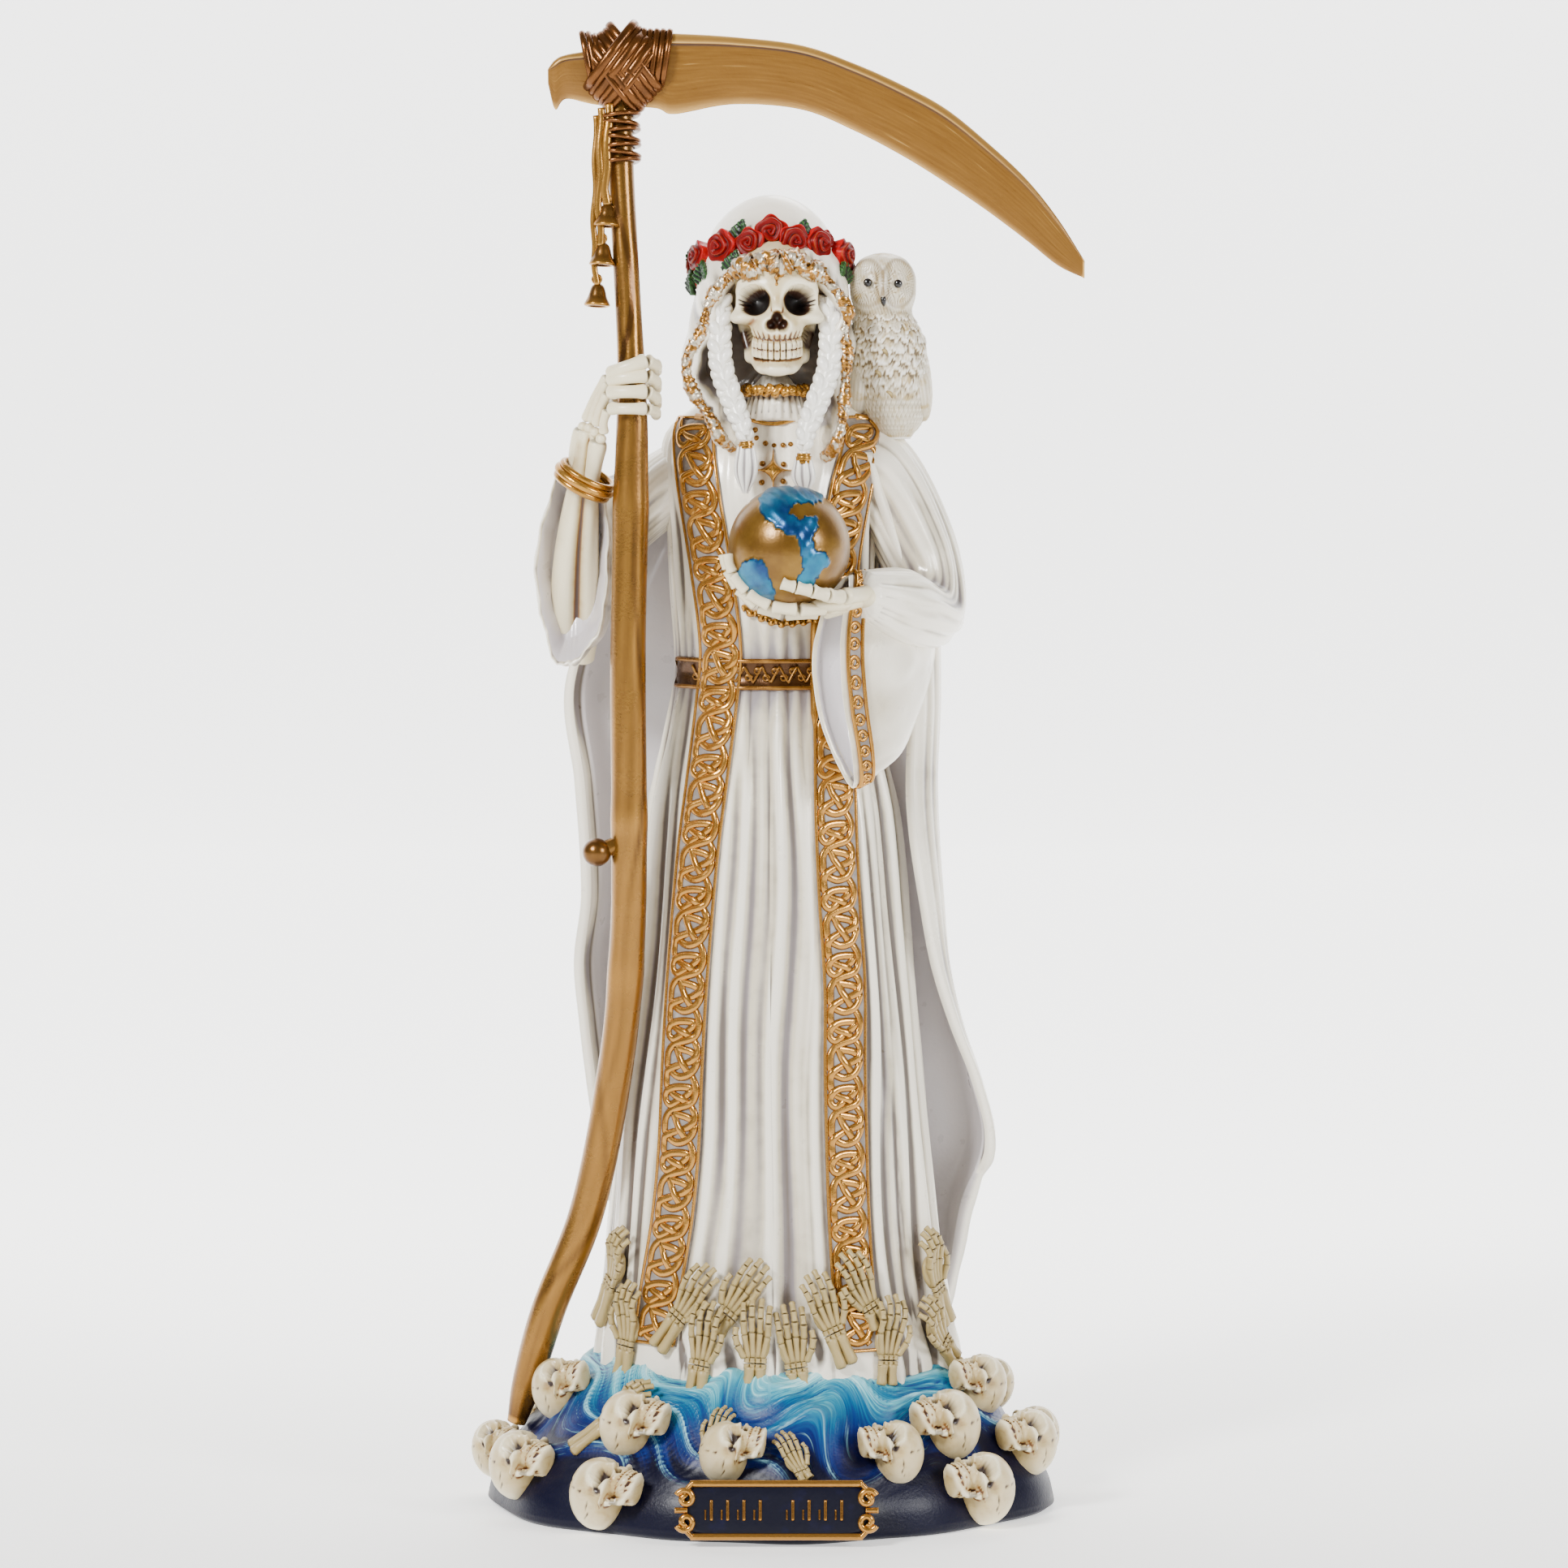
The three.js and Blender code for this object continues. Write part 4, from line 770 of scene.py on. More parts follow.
leftSleeve = [
    [41, -7, 243, 4, -1.5, 0, 2, 2, -12], [36.5, -17, 239, 5, -2.5, 0, 2.5, 1, -19],
    [29, -27.5, 234, 6, -3.2, 0, 3.5, 0, -25], [16.6, -37.6, 231, 4.2, -1.8, 0, 3.6, 0, -28.5],
    [16.3, -38, 231, 3.4, -1.2, 0, 3.4, 0, -27], [16.9, -35.6, 231, 3.0, -1.1, 0, 3.3, 0, -26.2],
]


def hang(form, share):  # the mouth of the left sleeve hangs in a curve, from the hand to its tip
    over = value([[200, 2.6], [212, 1.2], [224, -0.4], [236, 0], [248, 3.2], [260, 8.5]], form[..., 2])
    form[..., 0] += over * smooth(share, 0.2, 0.6)
    return form


def makeSleeve(table, count, depth, twist, fine):
    # Cloth that gathers in ridges along the sleeve:
    # radius · (1 + depth · cos(count · angle + twist · share)).
    share, angle = gridOf(150, 72)
    bulge = 1 + 0.035 * np.cos(5 * angle)
    bulge = bulge + (depth * np.sin(count * angle + twist * share + 1.3 * np.sin(2 * angle))
                     * smooth(share, 0, 0.15))
    bulge = bulge + fine * np.sin(2.7 * count * angle - twist * share + 2 * np.sin(3 * angle + 4 * share))
    form = ellipseAt(table, share, angle, bulge)
    # the inside of the mouth is marked for the cool grey of the linings, a painted shade
    lining = smooth(share, 0.8, 0.82)
    return skin(hang(form, share) if table is leftSleeve else form, lining if table is not leftArm else 0.0)


addPiece("right_sleeve", [makeSleeve(rightSleeve, 11, 0.02, 3.0, 0.006)], pearl, rounds=(2, 20))
addPiece("left_arm_cloth", [makeSleeve(leftArm, 9, 0.03, 5.0, 0.012)], pearl, rounds=(2, 20))
addPiece("left_sleeve", [makeSleeve(leftSleeve, 7, 0.02, 4.0, 0.006)], pearl, rounds=(2, 20))


def onSleeve(share, angle, proud):
    # A place on the left sleeve's outside: the ring point, moved out along the numeric normal.
    step = 1e-3
    spots = [(share, angle), (share + step, angle), (share, angle + step)]
    here, onward, turned = [
        hang(ellipseAt(leftSleeve, s, a, 1 + 0.035 * np.cos(5 * a)), s) for s, a in spots
    ]
    normal = unit(np.cross(turned - here, onward - here))
    middle = ellipseAt(leftSleeve, share, angle, 0.0)
    way = np.sign(np.einsum("...k,...k->...", normal, here - middle))[..., None]
    return here + np.asarray(proud)[..., None] * normal * way, normal * way


sleeveBand = dict(start=-1.4, end=1.8, back=0.53, rim=0.594)


def makeSleeveBand():
    # A gilded strip along the mouth of the sleeve, with two rims and a row of scrolls.
    t = np.linspace(sleeveBand["start"], sleeveBand["end"], 150)
    section = np.array([[0, -1.5], [0, 0.4], [0.1, 0.5], [0.5, 0.5], [0.9, 0.5], [1, 0.4], [1, -1.5]])
    share = sleeveBand["back"] + (sleeveBand["rim"] - sleeveBand["back"]) * section[None, :, 0]
    share = np.broadcast_to(share, (len(t), len(section)))
    spot, _ = onSleeve(share, np.broadcast_to(t[:, None], share.shape),
                       np.broadcast_to(section[None, :, 1], share.shape))
    forms = [skin(spot)]
    middle = (sleeveBand["back"] + sleeveBand["rim"]) / 2
    for k in range(16):
        centre = sleeveBand["start"] + 0.12 + 0.19 * k
        c = np.linspace(0, turn * 1.3, 26)
        size = 1 - 0.66 * c / c[-1]
        angle = centre + 0.075 * size * np.cos(c + 1.2)
        share = middle + 0.023 * size * np.sin(c + 1.2)
        path, out = onSleeve(share, angle, np.full(26, 0.6))
        forms.append(swept(path, oval(7, 0.6, 0.5), out))
    for share in (sleeveBand["back"], sleeveBand["rim"] - 0.006):
        path, out = onSleeve(np.full(150, share), t, np.full(150, 0.5))
        forms.append(swept(path, oval(8, 0.6, 0.6), out))
    return forms


sleeveStrip, *sleeveScrolls = makeSleeveBand()
addPiece("sleeve_band_ground", [sleeveStrip], bandGround, rounds=(2, 8))
addPiece("sleeve_band_scrolls", sleeveScrolls, goldLine, rounds=(2, 8))

# the hood, with the crumbled lace along its rim

hoodRows = [
    [1, 25, 331, 6, 0, 0, 0, 0, 13], [0.5, 21, 329, 15, 0, 0, 0, 0, 25], [0, 12, 327, 20, 0, 0, 0, 0, 33],
    [0, 0, 325, 21, 0, 0, 0, 0, 37.5], [0.5, -11, 321, 22.5, 0, 0, 0, 0, 34],
    [1.5, -20, 318, 21, 0, 0, 0, 1, 28],
    [1.5, -20.5, 318.5, 18, 0, 0, 0, 1, 25.5], [1.2, -11, 320, 16, 0, 0, 0, 0, 22],
]
rimRows = [
    # degrees round the rim from its left (+X) side upwards, reach of the rim there
    [-61, 1.14], [-50, 1.16], [-28, 1.02], [-11, 0.92], [15, 0.92], [25, 1.04], [46, 1.0], [66, 1.0],
    [98, 0.975],
    [130, 1.015], [150, 1.03], [167, 1.02], [182, 1.16], [193, 1.16], [203, 1.12], [213, 1.07], [233, 1.06],
    [270, 1.0],
    [299, 1.14],
]


def hoodPoint(share, angle, relief=0.0):
    degree = (np.degrees(angle) + 61) % 360 - 61
    rim = value(rimRows, degree) - 1
    near = smooth(share, 0.45, 0.7)
    sine = np.sin(angle)
    top = smooth(sine, 0.1, 0.8)
    cowl = 1 + 0.06 * np.cos(6 * angle) * (1 - share) * (1 - top) - 0.05 * sine * (1 - top)
    cowl = cowl + 0.13 * np.cos(angle) ** 2 * top * (1 - near)
    spot = ellipseAt(hoodRows, share, angle, cowl + near * (rim + 0.05 * sine * (1 - top)) + relief)
    # below the chin the hood's lip runs on under the gown
    spot[..., 1] += 11 * smooth(-sine, 0.72, 0.95) * smooth(share, 0.4, 0.6)
    return spot


def makeHood():
    share, angle = gridOf(180, 88)
    folds = (0.03 * np.sin(11 * angle + 2.5 * share) * smooth(np.sin(angle), 0.5, -0.3)
             * smooth(share, 0.1, 0.5))
    folds = folds + 0.012 * np.sin(26 * angle + 4 * np.sin(5 * share)) * smooth(np.sin(angle), 0.9, 0.2)
    ruffle = 0.02 * np.sin(37 * angle + 2 * np.sin(7 * angle)) * hump(share, 0.72, 0.06)
    return skin(hoodPoint(share, angle, folds + ruffle))


addPiece("hood", [makeHood()], pearl, rounds=(2, 22))


lace = dict(count=520, sides=12, radius=1.35, share=0.725)


def makeLace():
    # Crumpled gilt lace: a rope round the rim whose radius varies by overlapping waves. Above the
    # forehead the cloth is gathered into a thick frill that stands out in front of the brow.
    angle = around(lace["count"])
    path = hoodPoint(np.full(lace["count"], lace["share"]), angle)
    top = smooth(np.sin(angle), 0.72, 0.97)
    path[:, 1] -= 0.8 + 2.2 * smooth(-path[:, 2], -312, -296) + 3.4 * top
    path[:, 2] -= 1.2 * top * (1 + 0.7 * np.sin(17 * angle + 1))
    s = around(lace["sides"])[None]
    a = angle[:, None]
    crumbs = (np.sin(61 * a + 2.3 * np.sin(2 * s + 11 * a)) * np.sin(2 * s + 2.6 * np.sin(29 * a))
              + 0.6 * np.sin(109 * a + 2 * s + 2 * np.sin(23 * a)) * np.cos(3 * s - 31 * a))
    radius = lace["radius"] + 0.3 * np.sin(13 * a + 1) + 0.28 * crumbs
    tall = 1.15 + 1.2 * top[:, None]
    deep = 0.9 + 2.2 * top[:, None]
    along = unit(np.roll(path, -1, axis=0) - np.roll(path, 1, axis=0))
    across = unit(np.cross(along, [0.0, -1, 0]))
    out = np.cross(across, along)
    grid = path[:, None] + radius[..., None] * (
        (tall * np.cos(s))[..., None] * across[:, None] + (deep * np.sin(s))[..., None] * out[:, None]
    )
    return skin(grid, crumbs, "loop")


# gilt dabbed on crumbled plaster lace with bare cream between: a sparkling, broken edge, its crumbs lighter
# partly by gilt and partly by a painted highlight, with painted shade in the hollows
lacePaint = resinPaint("gilt_crumbled_lace_paint", dict(
    body="#54330b", metallic=0.7, roughness=(0.2, 0.38), coat=0.15, mottle=480, grain=1500, bump=0.06,
    layers=[
        # gilt and painted highlight on the crumbs
        ("nook", -0.06, -0.26, "#a87630", 0.1),
        ("mottle", 0.5, 0.56, "#cfc4ae", 0),
        # painted shade in the hollows
        ("nook", 0.03, 0.16, "#331a08", 0.06),
    ],
))
addPiece("hood_lace", [makeLace()], lacePaint, rounds=(2, 8))

# the head: one skull form for the face and for the skulls on the base


def blend(a, b, soft):  # the distance to two forms that run softly into each other
    h = np.clip(0.5 + 0.5 * (b - a) / soft, 0, 1)
    return b + (a - b) * h - soft * h * (1 - h)


def carve(a, b, soft):  # the distance to a form that another one is taken out of
    return -blend(-a, b, soft)


def eggAt(p, middle, radii):
    q = (p - np.array(middle)) / radii
    size, slope = np.linalg.norm(q, axis=-1), np.linalg.norm(q / radii, axis=-1)
    return size * (size - 1) / np.maximum(slope, 1e-9)


def rodAt(p, start, end, radius):
    start, way = np.array(start), np.array(end) - np.array(start)
    t = np.clip((p - start) @ way / (way @ way), 0, 1)
    return np.linalg.norm(p - start - t[..., None] * way, axis=-1) - radius


def skullDistance(p, cranium, hole=1.0):
    # Distance to a skull with its chin at 0 and its crown at 1, facing +Y, from eggs and rods.
    m = np.stack([np.abs(p[..., 0]), p[..., 1], p[..., 2]], -1)
    d = eggAt(m, [0, -0.06, 0.64], np.array([0.33, 0.43, 0.345]) * cranium)
    added = [
        ("egg", [0, 0.17, 0.62], [0.262, 0.185, 0.16], 0.05),  # forehead
        ("rod", [0.05, 0.315, 0.645], [0.24, 0.25, 0.636], 0.024),  # brow
        ("rod", [0.26, 0.215, 0.58], [0.265, 0.2, 0.45], 0.026),  # outer edge of the socket
        ("egg", [0.22, 0.205, 0.405], [0.1, 0.09, 0.05], 0.05),  # cheekbone
        ("rod", [0.27, 0.18, 0.41], [0.31, 0.0, 0.43], 0.021),  # its arch
        ("egg", [0, 0.19, 0.35], [0.178, 0.17, 0.15], 0.05),  # upper jaw
        ("rod", [0, 0.315, 0.57], [0, 0.37, 0.455], 0.034),  # nose bone
        ("egg", [0, 0.13, 0.2], [0.16, 0.2, 0.15], 0.04),  # behind the teeth
        ("egg", [0, 0.16, 0.06], [0.14, 0.2, 0.06], 0.03),  # lower jaw
        ("egg", [0, 0.3, 0.042], [0.1, 0.07, 0.045], 0.03),  # chin
        ("rod", [0.1, 0.24, 0.055], [0.175, 0.06, 0.13], 0.034),
        ("rod", [0.178, 0.05, 0.13], [0.235, 0.0, 0.36], 0.034),  # back of the lower jaw
    ]
    for kind, first, second, last in added:
        if kind == "egg":
            d = blend(d, eggAt(m, first, np.array(second)), last)
        else:
            d = blend(d, rodAt(m, first, second, last), 0.045)
    # teeth: small rounded blocks side by side on an arch, two rows, higher at the corners of the mouth
    x, y = p[..., 0], p[..., 1]
    ring, a, lift = np.hypot(x, y - 0.19), np.arctan2(x, y - 0.19), p[..., 2] - 0.9 * x**2
    pitch = 0.262
    u = (a / pitch - np.round(a / pitch)) * pitch * 0.166
    for row in (0.2, 0.137):
        q = np.stack([np.abs(u) - 0.0095, np.abs(ring - 0.157) - 0.008, np.abs(lift - row) - 0.0185], -1)
        tooth = np.linalg.norm(np.maximum(q, 0), axis=-1) + np.minimum(q.max(-1), 0) - 0.0095
        d = np.minimum(d, np.maximum(tooth, 0.07 - y))
    d = d - 0.006 * np.cos(turn * a / pitch) * hump(lift, 0.265, 0.03) * (y > 0.1)
    d = carve(d, eggAt(m, [0.154, 0.34, 0.52], np.array([0.113, 0.24, 0.106]) * hole), 0.02)
    d = carve(d, eggAt(m, [0.038, 0.4, 0.348], np.array([0.05, 0.16, 0.05])), 0.014)
    d = carve(d, eggAt(m, [0, 0.42, 0.385], np.array([0.05, 0.17, 0.07])), 0.014)
    d = carve(d, eggAt(m, [0.41, 0.13, 0.545], np.array([0.14, 0.14, 0.14])), 0.05)
    return carve(d, eggAt(m, [0.26, 0.2, 0.262], np.array([0.075, 0.13, 0.08])), 0.03)


def skullForm(columns, rows, crowd, heart, cranium=1.0, cracks=0.0, hole=1.0):
    # Rays from the heart of the head stop where they meet its surface. The columns crowd at the face.
    t = around(columns)
    t = np.where(t > math.pi, t - turn, t)
    level = np.linspace(-1, 1, rows)
    level = (0.62 * level + 0.38 * level**3) * math.pi * 0.495
    level, a = np.meshgrid(level, t - crowd * np.sin(t), indexing="ij")
    way = np.stack([np.cos(level) * np.sin(a), np.cos(level) * np.cos(a), np.sin(level)], -1)
    reach = np.full(level.shape, 1.12)
    for _ in range(54):
        reach = reach - 0.85 * skullDistance(np.array(heart) + reach[..., None] * way, cranium, hole)
    p = np.array(heart) + reach[..., None] * way
    far, y, z = np.abs(p[..., 0]), p[..., 1], p[..., 2]
    # socket, nose and cheek mark the eye sockets, the nose hole and the hollows beside the jaw, which are
    # painted dark: sockets and nose partly by dark paint and partly by painted shade, the cheek hollows by
    # painted shade
    socket = smooth(np.hypot(far - 0.154, z - 0.52), 0.113 * hole, 0.096 * hole) * (y > 0.05)
    nose = smooth(np.hypot(far, z - 0.37), 0.09, 0.06) * smooth(y, 0.36, 0.29) * (y > 0)
    cheek = smooth(np.hypot((far - 0.22) * 1.3, z - 0.25), 0.11, 0.05) * smooth(y, 0.3, 0.12) * (y > 0)
    seam = hump(y - 0.06 - 0.015 * np.sin(70 * z) - 0.01 * np.sin(151 * z), 0, 0.012) * smooth(z, 0.66, 0.72)
    other = hump(z - 0.62 - 0.02 * np.sin(45 * y) - 0.014 * np.sin(107 * y), 0, 0.012)
    seam = (seam * smooth(far, 0.05, 0.12)
            + other * smooth(y, 0.04, -0.02) * smooth(y, -0.3, -0.22) * smooth(far, 0.1, 0.2))
    p = p - cracks * np.clip(seam, 0, 1)[..., None] * way
    # temple is painted shade in the temple hollows of the base skulls
    temple = 0.4 * hump(np.hypot(y - 0.14, z - 0.54), 0, 0.06) if cracks else 0
    # the paint field: painted shade in the hollows, with the dark cracks of the seams
    shadeAndSeams = socket + 0.65 * nose + 0.6 * cheek + temple + (0.8 * seam if cracks else 0)
    return skin(p, np.clip(shadeAndSeams, 0, 1))


face = dict(height=39, width=40, chin=312.9, middle=1.7, depth=-13.2, lean=0.14)


def makeFace():
    points, faces, shadeAndSeams = skullForm(200, 196, 0.76, [0, -0.14, 0.43])
    x, y, z = points.T
    lean = face["lean"] * (z - 0.5)
    placed = np.stack([face["middle"] - face["width"] * x, face["depth"] - face["height"] * (y - lean),
                       face["chin"] + face["height"] * z], -1)
    return placed, faces, shadeAndSeams


# ivory acrylic rubbed smooth: creamy humps by a painted highlight, brown between the teeth by wash and
# painted shade, near black in the sockets and nose by dark paint and painted shade, and painted shade beside
# the jaw: a waxy, hollow face
faceBone = resinPaint("ivory_skull_acrylic", dict(
    body="#d2c196", metallic=0, roughness=(0.28, 0.45), coat=0.25, mottle=260, grain=1200, bump=0.04,
    layers=[
        ("mottle", 0.5, 0.75, "#b89f6a", 0),
        # painted highlight on the humps
        ("fold", -0.1, -0.7, "#efe4c4", 0.2),
        # brown wash and painted shade in the fine hollows
        ("nook", 0.008, 0.07, "#85592a", 0.03),
        # painted shade in the deeper hollows
        ("nook", 0.06, 0.18, "#43260d", 0.05),
        # dark paint and painted shade in the sockets and nose, painted shade in the cheek hollows
        ("paint", 0.15, 0.6, "#33190a", 0.2),
        ("paint", 0.6, 1.0, "#0d0603", 0.1),
    ],
))
addPiece("skull_face", [makeFace()], faceBone, rounds=(3, 22))

# braids of white hair

braidPath = [[15.4, -17, 334], [15.6, -19, 328], [15.7, -21, 321], [14.8, -23, 313.5], [11.6, -25.5, 304.6],
             [9.6, -27.5, 299.4], [8.4, -28.5, 293.5], [8.6, -28.5, 281]]
hair = dict(wide=5.4, pitch=5.2, start=0.02, stop=dict(left=0.8, right=0.745))


def lockForm():
    # One lock of a plait: a long drop with combed grooves, 1 long, pointed below.
    t, a = np.meshgrid(np.linspace(0.01, 0.99, 12), around(14), indexing="ij")
    radius = np.sin(math.pi * t**0.8) ** 0.75 * (1 + 0.1 * np.cos(7 * a + 2 * t))
    return skin(np.stack([0.27 * radius * np.cos(a), t - 0.5, 0.25 * radius * np.sin(a)], -1))


def makeBraid(side):
    # Locks lie left and right by turns and meet in a row of downward points, on a core.
    path = through([[1.2 + side * (x - 0.6), y, z] for x, y, z in braidPath], 300)
    length = np.concatenate([[0], np.cumsum(np.linalg.norm(np.diff(path, axis=0), axis=1))])
    stop = hair["stop"]["left" if side > 0 else "right"] * length[-1]
    along = unit(np.gradient(path, axis=0))
    across = unit(np.cross(along, [0.0, -1, 0.2]))
    out = np.cross(across, along)
    middles = np.arange(hair["start"] * length[-1], stop, hair["pitch"] / 2)
    at = np.searchsorted(length, middles)
    wide = hair["wide"] * value([[0, 1], [0.75, 1], [1, 0.72]], middles / stop)
    forms = [swept(path[: at[-1]], oval(14, 1.7, 1.3), out[: at[-1]])]
    for way in (-1, 1):  # in front and behind
        hand = np.where(np.arange(len(at)) % 2, 1, -1) * way
        lock = unit(along[at] - 0.62 * hand[:, None] * across[at])
        turns = axes(lock, way * out[at]) * (1.02 * wide)[:, None, None]
        spots = path[at] + (0.25 * wide * hand)[:, None] * across[at] + way * 0.7 * out[at]
        forms.append(copies(lockForm(), turns, spots))
    end = np.searchsorted(length, stop)
    tail = slice(end - 2, min(end + 52, 300))
    count = tail.stop - tail.start
    tuft = oval(28, 1.0, 0.7) * (1 + 0.16 * np.cos(7 * around(28)))[:, None]
    forms.append(swept(path[tail], tuft, out[tail], value([[0, 1.5], [0.25, 2.3], [0.65, 2.9], [1, 0.7]],
                                                          np.linspace(0, 1, count))))
    rings = [swept(path[end + 3 * k : end + 3 * k + 5], oval(20), out[end : end + 5],
                   1.9 + 0.3 * (k == 1)) for k in range(3)]
    return forms, rings


# white acrylic over combed grooves: silky locks, paler on the crests by a painted highlight, with grey
# painted shade in the gaps
whiteHair = resinPaint("white_combed_hair_acrylic", dict(
    body="#dfdcd6", metallic=0.05, roughness=(0.25, 0.42), coat=0.25, mottle=260, grain=1500, bump=0.05,
    layers=[
        # painted highlight on the crests
        ("nook", -0.02, -0.12, "#f6f3ea", 0.04),
        # painted shade in the gaps
        ("nook", 0.0, 0.1, "#938c8a", 0.05),
        # painted shade between the locks
        ("fold", 0.05, 0.4, "#6f6863", 0.1),
    ],
))
strandsLeft, tieLeft = makeBraid(1)
strandsRight, tieRight = makeBraid(-1)
addPiece("braids", strandsLeft + strandsRight, whiteHair, rounds=(2, 10))

# trims of the chest: collar, gilt lines, dots, star, pendant


def makeCollar():
    # A pleated collar that flares into a ruffle: radius · (1 + pleats that grow upwards).
    table = [
        [1.2, -9, 299, 9.5, 0, 0, 0, 9, -2], [1.2, -10, 303, 8.6, 0, 0, 0, 9, -2],
        [1.2, -10, 307, 7.4, 0, 0, 0, 8, -1],
        [1.2, -10.5, 309, 8.4, 0, 0, 0, 9.5, -1], [1.2, -10.5, 309.6, 7.6, 0, 0, 0, 8.5, -1],
        [1.2, -10, 308, 5, 0, 0, 0, 6, -1],
    ]
    share, angle = gridOf(180, 30)
    pleats = (0.03 + 0.06 * smooth(share, 0.3, 0.6)) * np.sin(26 * angle + 0.8 * np.sin(3 * angle))
    return skin(ellipseAt(table, share, angle, 1 + pleats))


addPiece("collar", [makeCollar()], pearl, rounds=(3, 12))


def makeTrims():
    forms = tieLeft + tieRight
    t = np.linspace(0, 1, 60)
    forms.append(lineOn(-5.8 + 12.4 * t, 301 - 1.2 * np.sin(math.pi * t), 0.55, 0.8))
    ruffle = around(160)
    edge = np.stack([1.2 + 8.5 * np.cos(ruffle), -10.6 - 9.8 * np.sin(ruffle),
                     308.9 + 0.5 * np.sin(23 * ruffle)], -1)
    edge[:, :2] = [1.2, -10.6] + (edge[:, :2] - [1.2, -10.6]) * (1 + 0.07 * np.sin(26 * ruffle))[:, None]
    forms.append(swept(edge, oval(8, 1.2, 1.3), np.array([0, 0, 1.0]), 1 + 0.3 * np.sin(41 * ruffle), 0,
                       "loop"))
    dots = [[-4.3, 298.1, 0.85], [-3.9, 295.9, 0.8], [-1.45, 294.5, 0.8], [0.92, 293.9, 0.75],
            [3.36, 294, 0.8],
            [5.44, 294.2, 0.8], [-2.3, 289, 0.85], [3.5, 288.8, 0.85], [-2.5, 283.9, 0.85],
            [3.4, 284.2, 0.85]]
    for x, z, r in dots:
        path = onFront(np.full(7, x), np.full(7, z), np.linspace(-0.6, 1.0, 7))
        forms.append(swept(path, oval(12, r, r), np.array([0, 0, 1.0]),
                           np.sqrt(1 - np.linspace(0, 0.98, 7) ** 3)))
    reach = around(96)
    point = 5.8 / (np.abs(np.cos(reach)) ** 0.45 + np.abs(np.sin(reach)) ** 0.45) ** (1 / 0.45)
    rings = []
    for level, size in ((-1.0, 1), (1.5, 1), (2.1, 0.72), (2.7, 0.3)):
        x, z = 0.6 + size * point * np.cos(reach), 287.3 + size * point * np.sin(reach) * 1.05
        rings.append(onFront(x, z, np.full(96, level + 0.2)))
    forms.append(skin(np.array(rings)))
    t = np.linspace(0, 1, 120)  # the gold ruffle of the neckline
    neck = through([[-7.5, 249.5], [-2, 247], [2.7, 245.6], [8, 246], [13.4, 247]], 120)
    frill = 1 + 0.3 * np.sin(90 * t)
    forms.append(swept(onFront(neck[:, 0], neck[:, 1] + 0.4 * np.sin(45 * t), 0.7), oval(10, 0.9, 1.1),
                       onFront(neck[:, 0], neck[:, 1], 1.7) - onFront(neck[:, 0], neck[:, 1], 0.7), frill))
    pendant = [[1.6, -27.6, 342], [1.6, -27, 339], [1.6, -26.4, 336.4]]
    forms.append(swept(through(pendant, 30), oval(10), np.array([0.0, -1, 0]),
                       0.5 + 0.2 * np.sin(np.linspace(0, 18, 30))))
    return forms


addPiece("chest_trims", makeTrims(), gold, rounds=(2, 8))

# the crown of roses and its leaves

crownRoses = [[-92, 345, 0.95], [-70, 347.5, 1], [-44, 350, 1.12], [-18, 351, 1], [0, 354, 1.1],
              [19, 351.5, 1.1],
              [42, 350.8, 1.05], [56, 351.5, 0.75], [70, 348, 1], [84, 344.5, 0.8], [-104, 342, 0.8]]
crownLeaves = [[-31, 353.6, 0.2], [-58, 343, -0.3], [30, 353.8, 0.3], [-80, 341, -0.2], [62, 343, 0.3],
               [-28, 345, 0.2], [-98, 347, -0.4]]
rose = dict(radius=4.0, turns=2.7, lobes=5)


def crownPoint(angle, height):
    inward = 1 - 0.045 * max(height - 348, 0)
    return np.array([0.2 + 19.6 * inward * math.sin(angle), -1 - 16.5 * inward * math.cos(angle), height - 2])


def roseForm():
    # Petals rolled in a spiral, with lobes outside:
    # height = dome + step · fraction(petals · radius − angle).
    r, t = np.meshgrid(np.linspace(0.03, 1, 32), around(50), indexing="ij")
    lobes = 1 + 0.09 * np.cos(rose["lobes"] * t + 1.2) * smooth(r, 0.6, 1)
    spiral = (rose["turns"] * r**0.85 - t / turn + 0.1 * np.sin(3 * t)) % 1
    step = smooth(spiral, 0, 0.72) * smooth(spiral, 1.0, 0.86)
    dome = 0.95 * np.sqrt(np.clip(1 - 0.86 * r**2, 0, 1))
    height = dome + 0.24 * step * (0.5 + 0.5 * r)
    radius = r * lobes * (1 + 0.05 * step)
    top = np.stack([radius * np.cos(t), radius * np.sin(t), height], -1)
    under = np.stack([0.8 * lobes[-1] * np.cos(t[-1]), 0.8 * lobes[-1] * np.sin(t[-1]), 0 * t[-1] - 0.7], -1)
    edge = np.concatenate([hump(spiral, 0.84, 0.07) * smooth(r, 0.12, 0.3), np.zeros((1, 50))])
    return skin(np.concatenate([top, under[None]]), edge)


def crownTurn(angle, tilt, rise):
    out = np.array([math.sin(angle), -math.cos(angle), rise])
    return axes(np.array([math.cos(angle) * tilt, math.sin(angle) * tilt, 1.0]), out)


def makeRoses():
    places = np.array([crownPoint(math.radians(b), h) for b, h, _ in crownRoses])
    turns = np.array([crownTurn(math.radians(b), 0.9 * math.sin(5 * k), 0.15) * rose["radius"] * s
                      for k, (b, _, s) in enumerate(crownRoses)])
    return copies(roseForm(), turns, places)


